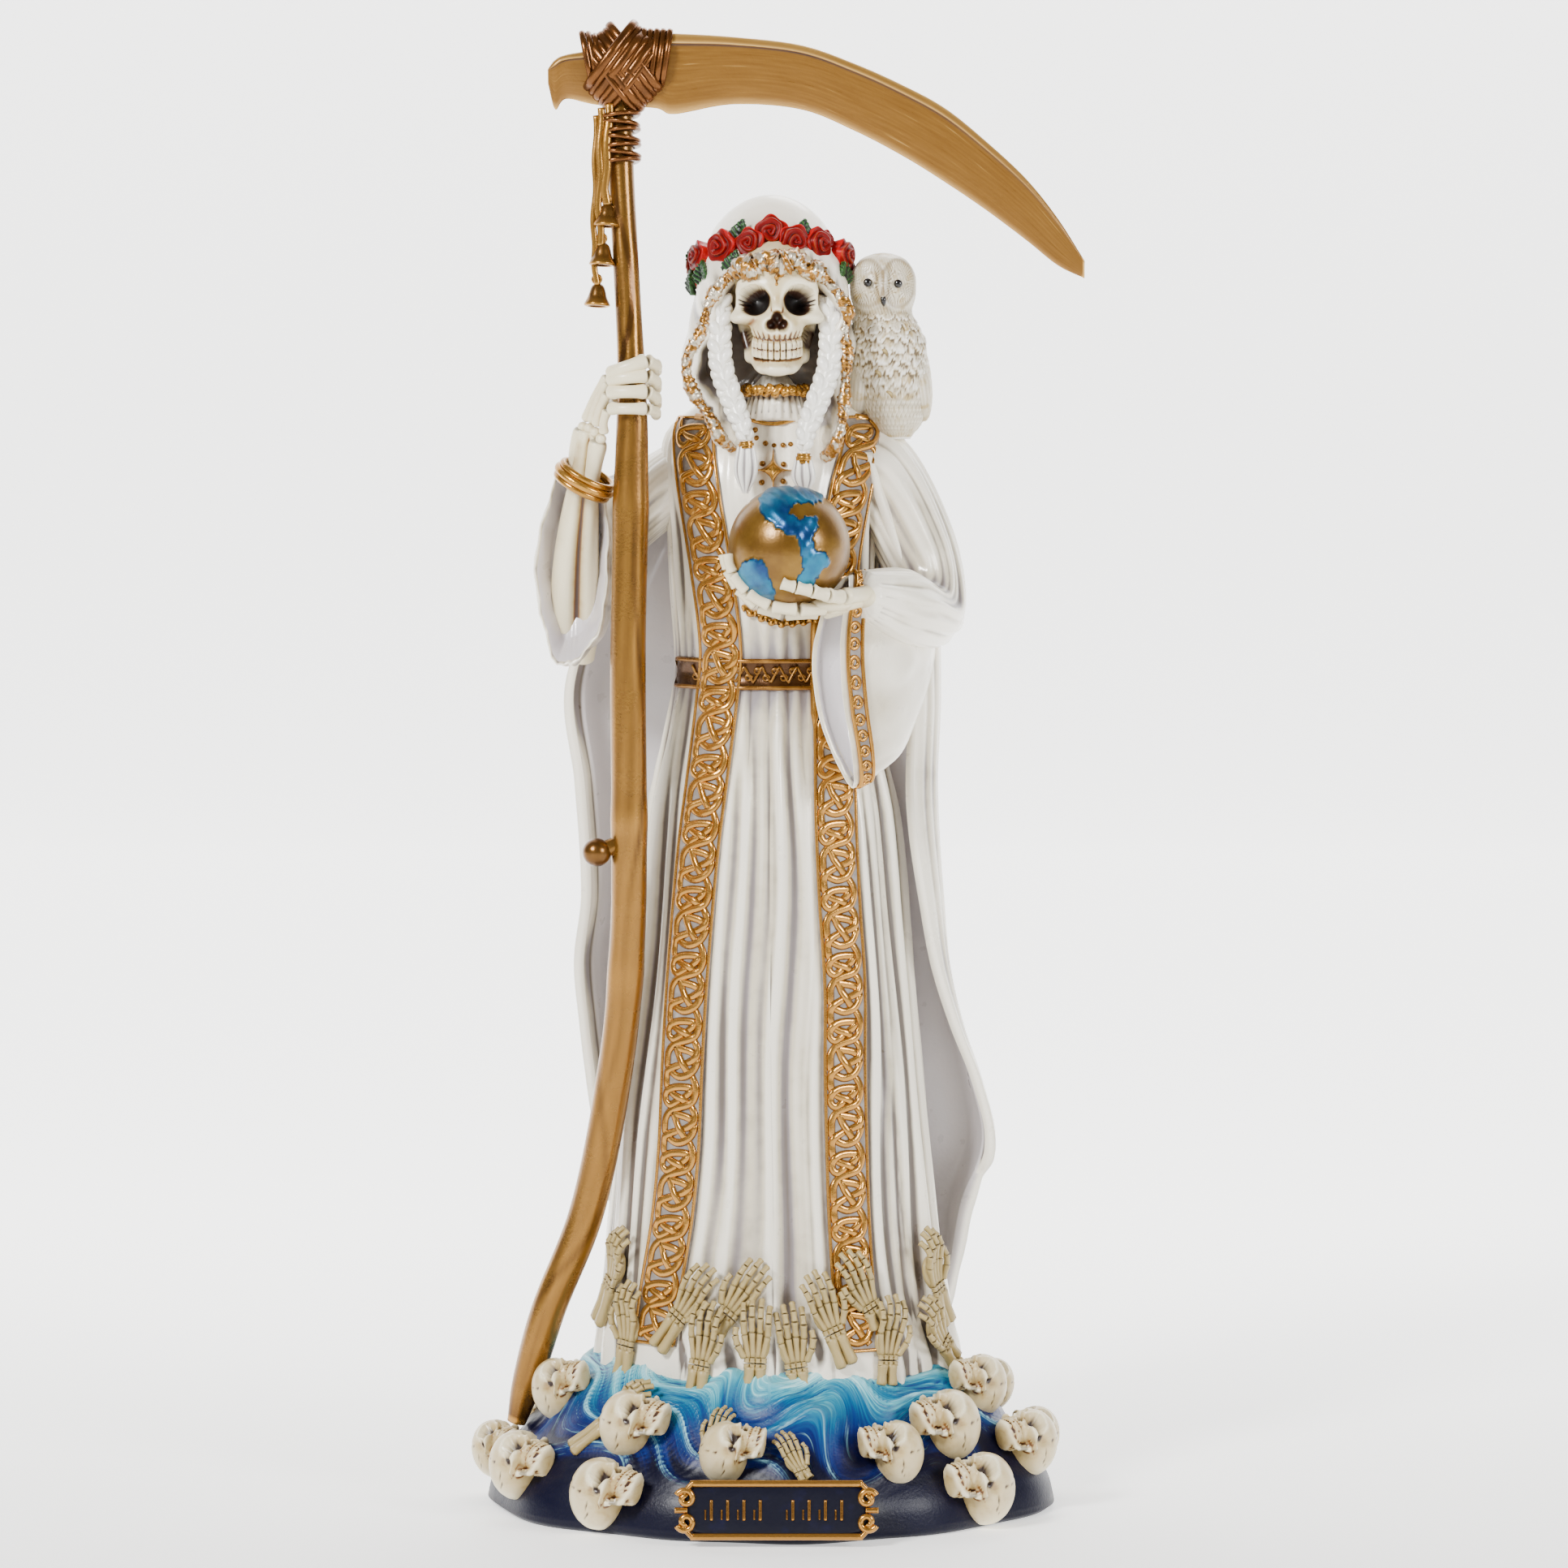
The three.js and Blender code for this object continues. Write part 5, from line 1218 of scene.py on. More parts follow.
def leafForm():
    # A pointed blade, raised between its veins, 1 long and 0.4 wide.
    s, t = np.meshgrid(np.linspace(0.02, 0.98, 24), around(24), indexing="ij")
    wide = 0.46 * np.sin(math.pi * s**0.8) * (1 + 0.05 * np.sin(40 * s))
    x = wide * np.cos(t)
    veins = 0.03 * np.cos(34 * (s - 0.7 * np.abs(x))) - 0.05 * hump(x, 0, 0.03)
    z = np.where(np.sin(t) > 0, 1, -1) * (0.09 * np.abs(np.sin(t)) ** 0.6) + 0.25 * s * (1 - s) + veins
    return skin(np.stack([x, s - 0.5, z + 0.12 * (x / 0.46) ** 2], -1), veins * 20)


# crimson acrylic: deep red blooms, brighter on the petal ridges by a painted highlight and near black between
# the petals by painted shade, with thin rims of old gold
rosePaint = resinPaint("glossy_red_rose_acrylic", dict(
    body="#700001", metallic=0, roughness=(0.32, 0.48), coat=0.0, specular=0.18, mottle=420, grain=1600,
    bump=0.04,
    layers=[
        # painted highlight on the petal ridges
        ("nook", -0.05, -0.2, "#a80307", 0.03),
        # painted shade between the petals
        ("nook", 0.0, 0.1, "#180001", 0.03),
        ("paint", 0.6, 1.0, "#8c4a1c", 0.9),
    ],
))
# dark green acrylic: small leathery leaves, lighter on the veins and ridges partly by dry-brushing and partly
# by a painted highlight, near black in the hollows by painted shade
leafPaint = resinPaint("dark_green_leaf_acrylic", dict(
    body="#0b260c", metallic=0, roughness=(0.3, 0.5), coat=0.08, specular=0.35, mottle=420, grain=1500,
    bump=0.05,
    # painted highlight on the ridges, then painted shade in the hollows
    layers=[("nook", -0.02, -0.14, "#265620", 0.04), ("nook", 0.02, 0.14, "#040b05", 0.03)],
))
addPiece("crown_roses", [makeRoses()], rosePaint, rounds=(2, 8))
addPiece("crown_leaves", [copies(
    leafForm(),
    np.array([crownTurn(math.radians(b), tilt, 0.2) * [6.5, 8.6, 8] for b, _, tilt in crownLeaves]),
    np.array([crownPoint(math.radians(b), h) for b, h, _ in crownLeaves]) * [1.12, 1.14, 1] ,
)], leafPaint, rounds=(2, 8))

# the owl on the shoulder

owlRows = [
    [34.5, -1, 295.5, 3.6, 0, 0, 0, 4, 0], [34, -2, 301.5, 7.6, 0, 0, 0, 6, 0],
    [33, -3.5, 313, 9.4, 0, 0, 0, 8, 0],
    [32, -4, 323, 9.6, 0, 0, 0, 8.4, 0], [31, -4, 329.3, 7.8, 0, 0, 0, 7.2, 0],
    [30.8, -5, 335.2, 8.9, 0, 0, 0, 8.4, 0],
    [30.8, -5, 340.6, 8.7, 0, 0, 0, 8, 0], [30.8, -4.5, 344.6, 6.2, 0, 0, 0, 6, 0],
    [30.8, -4.5, 346.2, 2.8, 0, 0, 0, 2.8, 0], [30.8, -4.5, 346.6, 0.4, 0, 0, 0, 0.4, 0],
]


def feathers(u, v, size):
    # Rows of tongues that hang over the row below: height grows from root to tip, with a ridge for the quill.
    row = np.floor(v / size)
    down = 1 - (v / size) % 1
    share = []
    for level in (row + 1, row):  # the tongue of the row above, then the one of this row
        across = u / size + 0.5 * (level % 2)
        x = (across % 1) * 2 - 1
        odd = np.sin(12.9 * np.floor(across) + 78.2 * level)
        hang = (0.78 + 0.14 * odd) * np.clip(1 - np.abs(x) ** 1.7, 0, 1) ** 0.7
        share.append((x, hang))
    above = down < share[0][1]
    x = np.where(above, share[0][0], share[1][0])
    along = np.where(above, (1 + down) / (1 + share[0][1]), down / (1 + share[1][1]))
    return 0.25 + 0.6 * along**1.5 + 0.14 * hump(x, 0, 0.16) - 0.1 * np.cos(19 * x) * along


def makeOwl():
    share, angle = gridOf(160, 150)
    rows = np.array(owlRows)
    height = value(np.column_stack([np.arange(len(rows)), rows[:, 2]]), share * (len(rows) - 1))
    front = np.cos(angle + math.pi / 2)
    body = smooth(height, 331.5, 328)
    wild = 0.5 * np.sin(7 * angle + 0.9 * height) + 0.4 * np.sin(11 * angle - 1.3 * height)
    scales = (feathers(angle * 9.55 + wild, height + 0.5 * wild, 3.0) + 0.25 * wild) * body
    belly = smooth(height, 312, 304) * smooth(front, 0, 0.5)
    fine = 0.55 * feathers(angle * 8.913, height * 0.8, 1.4)
    relief = 0.12 * (scales * (1 - belly) + fine * belly)
    relief = relief - 0.02 * smooth(height, 327.5, 330) * smooth(height, 333, 331)
    form = ellipseAt(owlRows, share, angle, 1 + relief)
    # the face: two discs of rays round the eyes, with a crest line between them
    x, z = form[..., 0], form[..., 2]
    facing = smooth(front, 0.1, 0.5) * smooth(z, 328, 331)
    push, ring = np.zeros_like(x), np.zeros_like(x)
    for eyeX in (26.4, 34.9):
        dx, dz = (x - eyeX) / 4.6, (z - 338.2) / 6.4
        disc = np.hypot(dx, dz)
        rays = 0.1 * np.cos(44 * np.arctan2(dz, dx)) * smooth(disc, 0.25, 0.5)
        push = (push + (-1.1 * hump(disc, 0.5, 0.42) + rays) * smooth(disc, 1.25, 0.9)
                + 0.45 * hump(disc, 1.08, 0.16))
        push = push - 0.5 * hump(disc, 0.12, 0.16)
        ring = ring + hump(disc, 1.0, 0.12) + 0.5 * hump(disc, 0.25, 0.16)
    crest = hump(x - 30.8 - 0.04 * (z - 340), 0, 0.7 + 0.12 * np.abs(z - 334)) * smooth(z, 331.5, 335)
    push = (push + 0.9 * crest) * facing
    head = smooth(z, 328.5, 331) * (1 - facing * 0.6)
    tufts = 0.16 * np.cos(58 * angle + 2.2 * z) * head
    form[..., 1] -= push
    out = np.stack([np.cos(angle), np.sin(angle), 0 * angle], -1)
    return skin(form + tufts[..., None] * out, 0.7 * ring * facing)


def makeWing(middle, half, lean, sizes):
    # A folded wing: small coverts above and long narrow quills below.
    share, angle = gridOf(84, 90)
    lat = (share - 0.5) * math.pi * 0.985
    x, y, z = np.cos(lat) * np.cos(angle), np.cos(lat) * np.sin(angle), np.sin(lat)
    level = (z + 1) / 2
    coverts = feathers(angle * half[1], z * half[2], sizes[0]) * smooth(level, 0.42, 0.5)
    quills = (0.5 + 0.5 * np.abs(np.sin(9 * angle + 1.5 * level))) * smooth(level, 0.5, 0.42)
    reach = 1 + 0.07 * coverts + 0.06 * quills
    tip = 1 - 0.45 * smooth(level, 0.35, 0.0)
    form = np.stack([x * half[0] * reach, y * half[1] * reach * tip, z * half[2]], -1)
    c, s = math.cos(math.radians(lean)), math.sin(math.radians(lean))
    spin = np.array([[c, 0, s], [0, 1, 0], [-s, 0, c]])
    return skin(form @ spin.T + np.array(middle))


# cream acrylic over carved feathers, washed with umber: pale plumage, paler on the tips by a painted
# highlight, brown under each tip by the wash and painted shade, near black in the deepest gaps by painted
# shade, brown rims round the face
owlPaint = resinPaint("cream_feather_acrylic", dict(
    body="#cfc5ad", metallic=0.05, roughness=(0.3, 0.5), coat=0.15, mottle=330, grain=1500, bump=0.06,
    layers=[
        ("mottle", 0.5, 0.68, "#b8a271", 0),
        # painted highlight on the feather tips
        ("nook", -0.02, -0.14, "#f3eee2", 0.05),
        # umber wash and painted shade under each tip
        ("nook", 0.0, 0.1, "#806c4a", 0.05),
        # painted shade in the deepest gaps
        ("nook", 0.08, 0.22, "#41362a", 0.05),
        ("paint", 0.2, 1.0, "#8a7653", 0.6),
    ],
))
addPiece("owl", [makeOwl(), makeWing([40.6, -2, 313], [3.4, 6.2, 12.8], -8, [2.4]),
                 makeWing([25, -2, 313], [3.4, 6.2, 12.8], 6, [2.4])], owlPaint, rounds=(2, 9))


def ball(middle, radii, columns=40, rows=28):
    share, angle = gridOf(columns, rows)
    lat = (share - 0.5) * math.pi * 0.98
    unitBall = np.stack([np.cos(lat) * np.cos(angle), np.cos(lat) * np.sin(angle), np.sin(lat)], -1)
    return skin(unitBall * np.array(radii) + np.array(middle))


# black gloss enamel from a fine brush: wet-looking beads
darkGloss = resinPaint("dark_grey_gloss_enamel", dict(
    body="#0c0a0a", metallic=0, roughness=(0.08, 0.2), coat=0.4, mottle=700, grain=1500, bump=0.02,
    layers=[("mottle", 0.55, 0.8, "#2a2522", 0)],
))


def makeOwlFeatures():
    eyes = [ball([26.5, -12.5, 338.3], [1.2, 0.9, 1.2]), ball([34.8, -12.6, 338.0], [1.2, 0.9, 1.2])]
    beak = tube([[30.6, -13.2, 334.9], [30.7, -14.0, 333.9], [30.8, -13.9, 332.8], [30.9, -13.3, 331.8]],
                [0.4, 0.8, 0.7, 0.2], 12, 16)
    claws = []
    for x, z in ((31.4, 319.5), (29.6, 313.6), (32.8, 308.0)):
        claws.append(tube([[x - 1, -12.3, z + 0.6], [x, -13.2, z], [x + 0.5, -12.9, z - 1.2]],
                          [0.35, 0.55, 0.25], 8, 10))
    return eyes + [beak], claws


owlEyes, owlClaws = makeOwlFeatures()
addPiece("owl_eyes_beak", owlEyes, darkGloss, rounds=(2, 6))
addPiece("owl_claws", owlClaws, handBone, rounds=(2, 6))

# the globe, and the hand of bones under it

globe = dict(radius=16.4, middle=np.array([5, -42, 266.8]))
landSpots = [
    # places of the raised land, in radii from the middle across and up, then its size and height there
    [-0.2, 0.85, 0.26, 0.14], [0.1, 0.88, 0.3, 0.12], [0.38, 0.83, 0.22, 0.1], [-0.33, 0.66, 0.18, 0.16],
    [-0.16, 0.55, 0.2, 0.18], [-0.02, 0.38, 0.14, 0.13], [0.12, 0.33, 0.12, 0.1], [0.34, 0.42, 0.17, 0.14],
    [0.26, 0.27, 0.13, 0.1], [0.27, 0.06, 0.14, 0.14], [0.36, -0.16, 0.18, 0.14], [0.55, -0.2, 0.14, 0.12],
    [0.34, -0.38, 0.18, 0.14], [0.24, -0.58, 0.17, 0.12], [-0.56, -0.3, 0.2, 0.15], [-0.66, -0.4, 0.2, 0.14],
    [-0.52, -0.56, 0.24, 0.18], [-0.38, -0.74, 0.22, 0.16],
]


def makeGlobe():
    # Land = the sum of soft discs over a level; it stands 0.45 mm out of the ball, and its edge is frayed.
    share, angle = gridOf(190, 112)
    lat = (share - 0.5) * math.pi * 0.995
    point = np.stack([np.cos(lat) * np.sin(angle), -np.cos(lat) * np.cos(angle), np.sin(lat)], -1)
    x, y, z = np.moveaxis(point, -1, 0)
    fray = 0.02 * np.sin(37 * x + 9 * z) + 0.02 * np.sin(31 * z - 17 * x) + 0.014 * np.sin(71 * x + 53 * z)
    level = np.zeros_like(x)
    for across, up, wide, high in landSpots:
        near = np.exp(-(((x - across) / wide) ** 2 + ((z - up) / (high + 0.03)) ** 2) * 1.1)
        level = level + near * smooth(-y, -0.05, 0.15)
    level = level + 0.8 * hump(np.hypot(x - 0.3, z + 0.1), 0, 0.35) * smooth(y, 0.1, 0.4)
    land = smooth(level + 4 * fray, 0.52, 0.72)
    hills = 0.012 * np.sin(23 * x + 11 * y) * np.sin(19 * z + 3 * x)
    return skin(point * (globe["radius"] * (1 + land[..., None] * (0.028 + hills[..., None])))
                + globe["middle"], land)


# satin gold with hand-painted blue land and pale ridges: a metal ball with frayed coasts
globePaint = resinPaint("gold_and_blue_globe_paint", dict(
    body="#6a4912", metallic=0.6, roughness=(0.24, 0.4), coat=0.2, mottle=130, grain=1400, bump=0.04,
    layers=[
        ("mottle", 0.4, 0.65, "#83601e", 0),
        ("paint", 0.15, 0.4, "#0a3a3c", 0.1),
        ("paint", 0.5, 0.75, "#043468", 0.1),
        ("paint", 0.85, 1.25, "#0b7a9c", 0.9),
    ],
))
addPiece("globe", [makeGlobe()], globePaint, rounds=(2, 6))

fingerPaths = [
    [[1.45, 0.5, -0.72], [0.86, -0.36, -0.8], [0.62, -0.62, -0.76], [0.36, -0.78, -0.68], [0.1, -0.86, -0.62],
     [-0.14, -0.9, -0.55]],
    [[1.45, 0.5, -0.8], [0.6, -0.2, -0.98], [0.15, -0.4, -1.0], [-0.3, -0.42, -0.94], [-0.68, -0.4, -0.72],
     [-0.92, -0.36, -0.42], [-1.0, -0.32, -0.08]],
    [[1.45, 0.5, -0.88], [0.5, 0.06, -1.05], [-0.1, 0.02, -1.08], [-0.52, 0, -0.96], [-0.84, 0, -0.66],
     [-1.0, 0, -0.36], [-1.07, 0, -0.1]],
    [[1.45, 0.5, -0.84], [0.4, 0.4, -0.98], [-0.1, 0.44, -0.96], [-0.5, 0.42, -0.84], [-0.78, 0.4, -0.58],
     [-0.9, 0.38, -0.36]],
]


def makeGlobeHand():
    forms = []
    for path in fingerPaths:
        points = np.array(path) * globe["radius"] + globe["middle"]
        points = points + 0.06 * unit(points - globe["middle"])
        for j in range(len(points) - 1):
            a, b = points[j], points[j + 1]
            away = unit((a + b) / 2 - globe["middle"])
            r = 2.7 if j == 0 else 2.45 - 0.13 * j
            middle = (a + b) / 2 + away * 0.25
            gap = 0.04 * (b - a)
            forms.append(bone([a + gap, middle, b - gap], r, 14, 18))
    wrist = np.array([1.3, 0.4, -0.82]) * globe["radius"] + globe["middle"]
    forms.append(ball(wrist, [5.5, 5, 3.6], 30, 20))
    palm = np.array([0.62, 0.05, -0.93]) * globe["radius"] + globe["middle"]
    forms.append(ball(palm, [7, 7.5, 2.6], 30, 20))
    return forms


addPiece("globe_hand", makeGlobeHand(), boneWhite, rounds=(3, 12))

# the fist round the scythe, the forearm and the bracelet

grip = dict(middle=np.array([-37.6, -30.0, 310.0]), radius=6.75)


def onGrip(bearing, rise, more=0.0):  # a place round the shaft in the fist
    a, reach = math.radians(bearing), grip["radius"] + more
    return grip["middle"] + [reach * math.cos(a), reach * math.sin(a), rise]


def makeFist():
    lifts = [[3.3, 7.0, 4.2], [1.8, 3.0, -0.6], [-1.5, -1.4, -5.0], [-6.0, -6.0, -7.8]]
    wrists = [[-50.4, -26.0, 300.7], [-48.7, -27.3, 300.2], [-47.3, -28.6, 299.4], [-45.2, -29.8, 297.4]]
    thick = [2.4, 2.3, 2.3, 2.0]
    forms = []
    for (start, middle, end), wrist, r in zip(lifts, wrists, thick):
        rise = lambda share: start + (middle - start) * share
        forms.append(bone([onGrip(b, rise((b - 212) / 96)) for b in np.linspace(212, 306, 5)], r, 16, 30))
        drop = lambda share: middle + (end - middle) * share
        middleBone = [onGrip(b, drop((b - 306) / 70)) for b in np.linspace(309, 343, 4)]
        tipBone = [onGrip(b, drop((b - 306) / 70)) for b in np.linspace(346, 378, 4)]
        forms.append(bone(middleBone, r * 0.92, 14, 22))
        forms.append(bone(tipBone, r * 0.8, 14, 20))
        knuckle = onGrip(203, start - 0.4, 0.3)
        wristPoint = np.array(wrist)
        forms.append(bone([knuckle, (knuckle + wristPoint) / 2 + [-0.5, -0.4, 0], wristPoint], 1.55, 14, 26))
    thumb = [onGrip(b, -6 + 0.06 * (175 - b)) for b in (175, 140, 105, 75, 50)]
    forms += [bone(thumb[:3], 1.9), bone(thumb[2:], 1.7)]
    carpals = np.array([[-51, -25.8, 299.0], [-49.2, -27.2, 298.6], [-47.6, -28.2, 297.6],
                        [-46, -29.2, 295.8]])
    forms += [ball(spot, [1.5, 1.5, 1.5], 16, 12) for spot in carpals]
    forearm = [
        [[-51.2, -25.6, 298.8], [-53.2, -23.0, 290.6], [-54.2, -17, 270], [-54, -12, 250]],
        [[-46.6, -28.0, 295.8], [-48.6, -25.2, 285.4], [-51.2, -18, 268], [-52, -12.5, 250]],
    ]
    forms += [bone(through(path, 12), r, 18, 50) for path, r in zip(forearm, (2.5, 2.9))]
    # the forearm below them widens, with a groove between its two bones, and sinks into the sleeve
    arm = through([[-49.4, -26.4, 298], [-50.2, -24.6, 290], [-51.6, -21.6, 279], [-53, -17.4, 266],
                   [-53.8, -12.6, 253], [-54.2, -8.5, 242],
                   [-54.2, -6, 235]], 60)
    t = around(40)
    groove = 1 - 0.3 * hump(t, 0.55 * math.pi, 0.34)
    size = value([[0, 2.8], [0.2, 3.6], [0.42, 5.4], [0.6, 6.5], [0.8, 6.8], [1, 5.5]], np.linspace(0, 1, 60))
    forms.append(swept(arm, oval(40) * groove[:, None], np.array([0.0, -1, 0]), size))
    return forms


addPiece("fist", makeFist(), boneWhite, rounds=(3, 12))


bracelet = dict(
    middle=np.array([-50.6, -24.6, 284.6]),
    ribs=((-1.8, 7.5, 0.95), (0, 7.9, 1.15), (1.8, 7.4, 0.95)),  # shift along the arm, radius, thickness
)


def makeBracelet():
    # Three ribs on a tilted ring: middle + radius · (u cos t + v sin t) + shift · axis.
    axis = np.array([0.459, -0.208, 0.864])
    u, v = np.array([0.883, 0, -0.469]), np.array([0.098, 0.978, 0.184])
    t = around(90)
    forms = []
    for shift, radius, thick in bracelet["ribs"]:
        path = bracelet["middle"] + shift * axis + radius * (
            np.cos(t)[:, None] * u + np.sin(t)[:, None] * v
        )
        forms.append(swept(path, oval(12), axis, thick, 0, "loop"))
    return forms


addPiece("bracelet", makeBracelet(), gold, rounds=(2, 10))

# hands of bones on the hem and in the waves


def handForm(arm, thumbSide):
    # Wrist at the origin, fingers along y, in lengths of the hand: forearm, carpals, metacarpals, phalanges.
    knuckles = np.array([[0.17, 0.46], [0.058, 0.5], [-0.058, 0.49], [-0.17, 0.44]])
    tips = np.array([[0.2, 0.9], [0.075, 0.99], [-0.06, 0.97], [-0.18, 0.87]])
    roots = np.array([[0.1, 0.12], [0.035, 0.13], [-0.035, 0.13], [-0.1, 0.12]])
    chain = [roots, knuckles] + [knuckles + (tips - knuckles) * s for s in (0.44, 0.74, 1.0)]
    bend = [0.0, 0.08, 0.16, 0.14, 0.05]
    chain = [np.column_stack([xy, np.full(4, b)]) for xy, b in zip(chain, bend)]
    starts, ends = np.vstack(chain[:-1]), np.vstack(chain[1:])
    radii = np.repeat([0.05, 0.054, 0.051, 0.047], 4)
    thumb = np.array([[0.16, 0.12, 0.03], [0.26, 0.3, 0.1], [0.3, 0.44, 0.12], [0.29, 0.56, 0.1]])
    carpals = np.array([[x, y, 0.02] for y in (0.0, 0.085) for x in (-0.12, -0.04, 0.04, 0.12)])
    armEnds = np.array([[0.07, 0.0, 0.0], [-0.07, 0.0, 0.0]])
    armStarts = np.array([[0.09, -arm, 0.0], [-0.09, -arm, 0.0]])
    starts = np.vstack([starts, thumb[:-1], carpals - [0, 0.03, 0], armStarts])
    ends = np.vstack([ends, thumb[1:], carpals + [0, 0.04, 0], armEnds])
    radii = np.concatenate([radii, [0.055, 0.053, 0.048], np.full(8, 0.05), [0.095, 0.09]])
    palm = ball([0, 0.3, -0.03], [0.2, 0.26, 0.08], 16, 10)
    points, faces, paint = merged([bones(starts, ends, radii, 6), palm])
    return points * [thumbSide, 1, 1], faces if thumbSide > 0 else faces[:, ::-1], paint


hemHands = [
    # place across, height, tilt from upright, length of the forearm, side of the thumb
    [-42.5, 62, 24, 12, 1], [-38.5, 46, 4, 8, -1], [-25, 55.5, 34, 10, 1], [-12, 57, 36, 5, -1],
    [-18.6, 43, 8, 10, 1], [-4, 44, 2, 5, -1], [7, 42.5, -8, 5, 1], [17, 52, -22, 9, 1], [27, 58, -26, 5, -1],
    [31, 43.5, 6, 6, 1], [43.5, 61, -18, 10, 1], [46, 46, -40, 6, -1],
]
waveHands = [[-50, 0.2, 34, 12, 1, 0.95], [-17, 0.15, 14, 3, -1, 0.72], [8, 0.1, -24, 3, 1, 0.72],
             [165, 0.38, 10, 5, 1, 1]]
handLength = 19.0


def placedHand(spot, out, tilt, arm, thumbSide, size=1.0):
    across = unit(np.array([-out[1], out[0], 0.0]))
    up = np.cross(out, across)
    lean = math.radians(tilt)
    turned = axes(up * math.cos(lean) + across * math.sin(lean), out) * handLength * size
    return copies(handForm(arm / handLength, thumbSide), turned[None], spot[None])


def makeHands():
    forms = []
    for x, z, tilt, arm, thumbSide in hemHands:
        angle = gownAngle(x, z)
        out = unit(np.array([math.sin(angle) * 0.8, -math.cos(angle), 0.12]))
        forms.append(placedHand(gownPoint(angle, z, 1.6), out, tilt, arm, thumbSide))
    for bearing, inward, tilt, arm, thumbSide, size in waveHands:
        angle = math.radians(bearing)
        out = unit(np.array([math.sin(angle), -math.cos(angle), 0.9]))
        forms.append(placedHand(basePoint(angle, inward) + 1.4 * out, out, tilt, arm, thumbSide, size))
    return forms


addPiece("reaching_hands", makeHands(), handBone, rounds=(2, 8))

# skulls that lie in the waves

skullPlaces = [
    # bearing, share in from the rim, heading of the crown-to-chin line, size
    [-73.5, 0.25, 86, 1], [-40.5, 0.215, 104, 1.12], [-66, 0.065, 104, 1.12], [-94, 0.05, 96, 0.95],
    [-99, 0.17, 90, 0.9], [-40, 0.035, 106, 1.15], [-9.5, 0.14, 98, 1], [32, 0.14, -96, 1.02],
    [51.5, 0.19, -102, 1.15], [72.5, 0.275, -92, 1], [98, 0.23, -90, 0.85], [73, 0.105, -98, 1.08],
    [97, 0.08, -94, 0.95], [52, 0.035, -100, 1.15], [150, 0.14, 60, 1], [-140, 0.14, -70, 1],
]
baseSkull = dict(length=23.0, tilt=40, columns=56, rows=48)


def makeBaseSkulls():
    b, inward, heading, size = np.array(skullPlaces).T
    b, heading = np.radians(b), np.radians(heading)
    spot = basePoint(b, inward)
    b = np.where(np.abs(b) < 1.9, 0.5 * b, b)  # the ones in front show their sides
    out = unit(np.stack([np.sin(b), -np.cos(b), np.full(len(b), 0.75)], -1))
    across = np.stack([np.cos(b), np.sin(b), 0 * b], -1)
    up = np.cross(out, across)
    way = across * np.sin(heading)[:, None] + up * np.cos(heading)[:, None]
    reach = baseSkull["length"] * size[:, None]
    chin = spot + 0.46 * reach * way + 0.12 * reach * out
    upSide = np.cross(way, out) * np.sign(np.einsum("ij,ij->i", np.cross(way, out), up))[:, None]
    tilt = math.radians(baseSkull["tilt"])
    front = unit(out * math.cos(tilt) + upSide * math.sin(tilt))
    side = np.cross(front, -way)
    turns = np.stack([side, front, -way], -1) * (0.9 * reach)[:, None]
    points, faces, paint = skullForm(baseSkull["columns"], baseSkull["rows"], 0.66, [0, -0.02, 0.43], 1.0,
                                     0.012, 1.08)
    points[:, 2] = np.where(points[:, 2] < 0.5, 0.12 + 0.76 * points[:, 2], points[:, 2])  # with shorter jaws
    return copies((points, faces, paint), turns, chin)


addPiece("base_skulls", [makeBaseSkulls()], boneWhite, rounds=(1, 5))

# the name plate, with short strokes in place of words

plate = dict(width=54.5, height=16, middle=1.6, proud=3, bar=1.8)
plateTurn = axes(np.array([0, 0.1, 1.0]), np.array([0, -1, 0.1]))
plateSpot = np.array([plate["middle"], -baseRadius(0.0) - plate["proud"] + 9, 0.58 * plate["height"]])


def onPlate(points):  # across, up and out of the plate, from the middle of its back
    return (np.asarray(points, float) * [-1, 1, 1] + [0, 0, 0]) @ plateTurn.T + plateSpot


def makePlateField():
    half, high = plate["width"] / 2 - 2.2, plate["height"] / 2 - 0.9
    t = around(200)
    ring = np.stack([half * np.sign(np.cos(t)) * np.abs(np.cos(t)) ** 0.35,
                     high * np.sign(np.sin(t)) * np.abs(np.sin(t)) ** 0.35], -1)
    levels = [[1, 0], [1, 8.0], [0.98, 8.35], [0.9, 8.4], [0.5, 8.4], [0.1, 8.4]]
    rings = [np.column_stack([ring * s, np.full(200, out)]) for s, out in levels]
    return [skin(onPlate(np.array(rings)))]


def flatBar(points, wide, high):
    return swept(onPlate(points), oval(10, wide, high), np.array([0, 0, 1.0]) @ plateTurn.T)


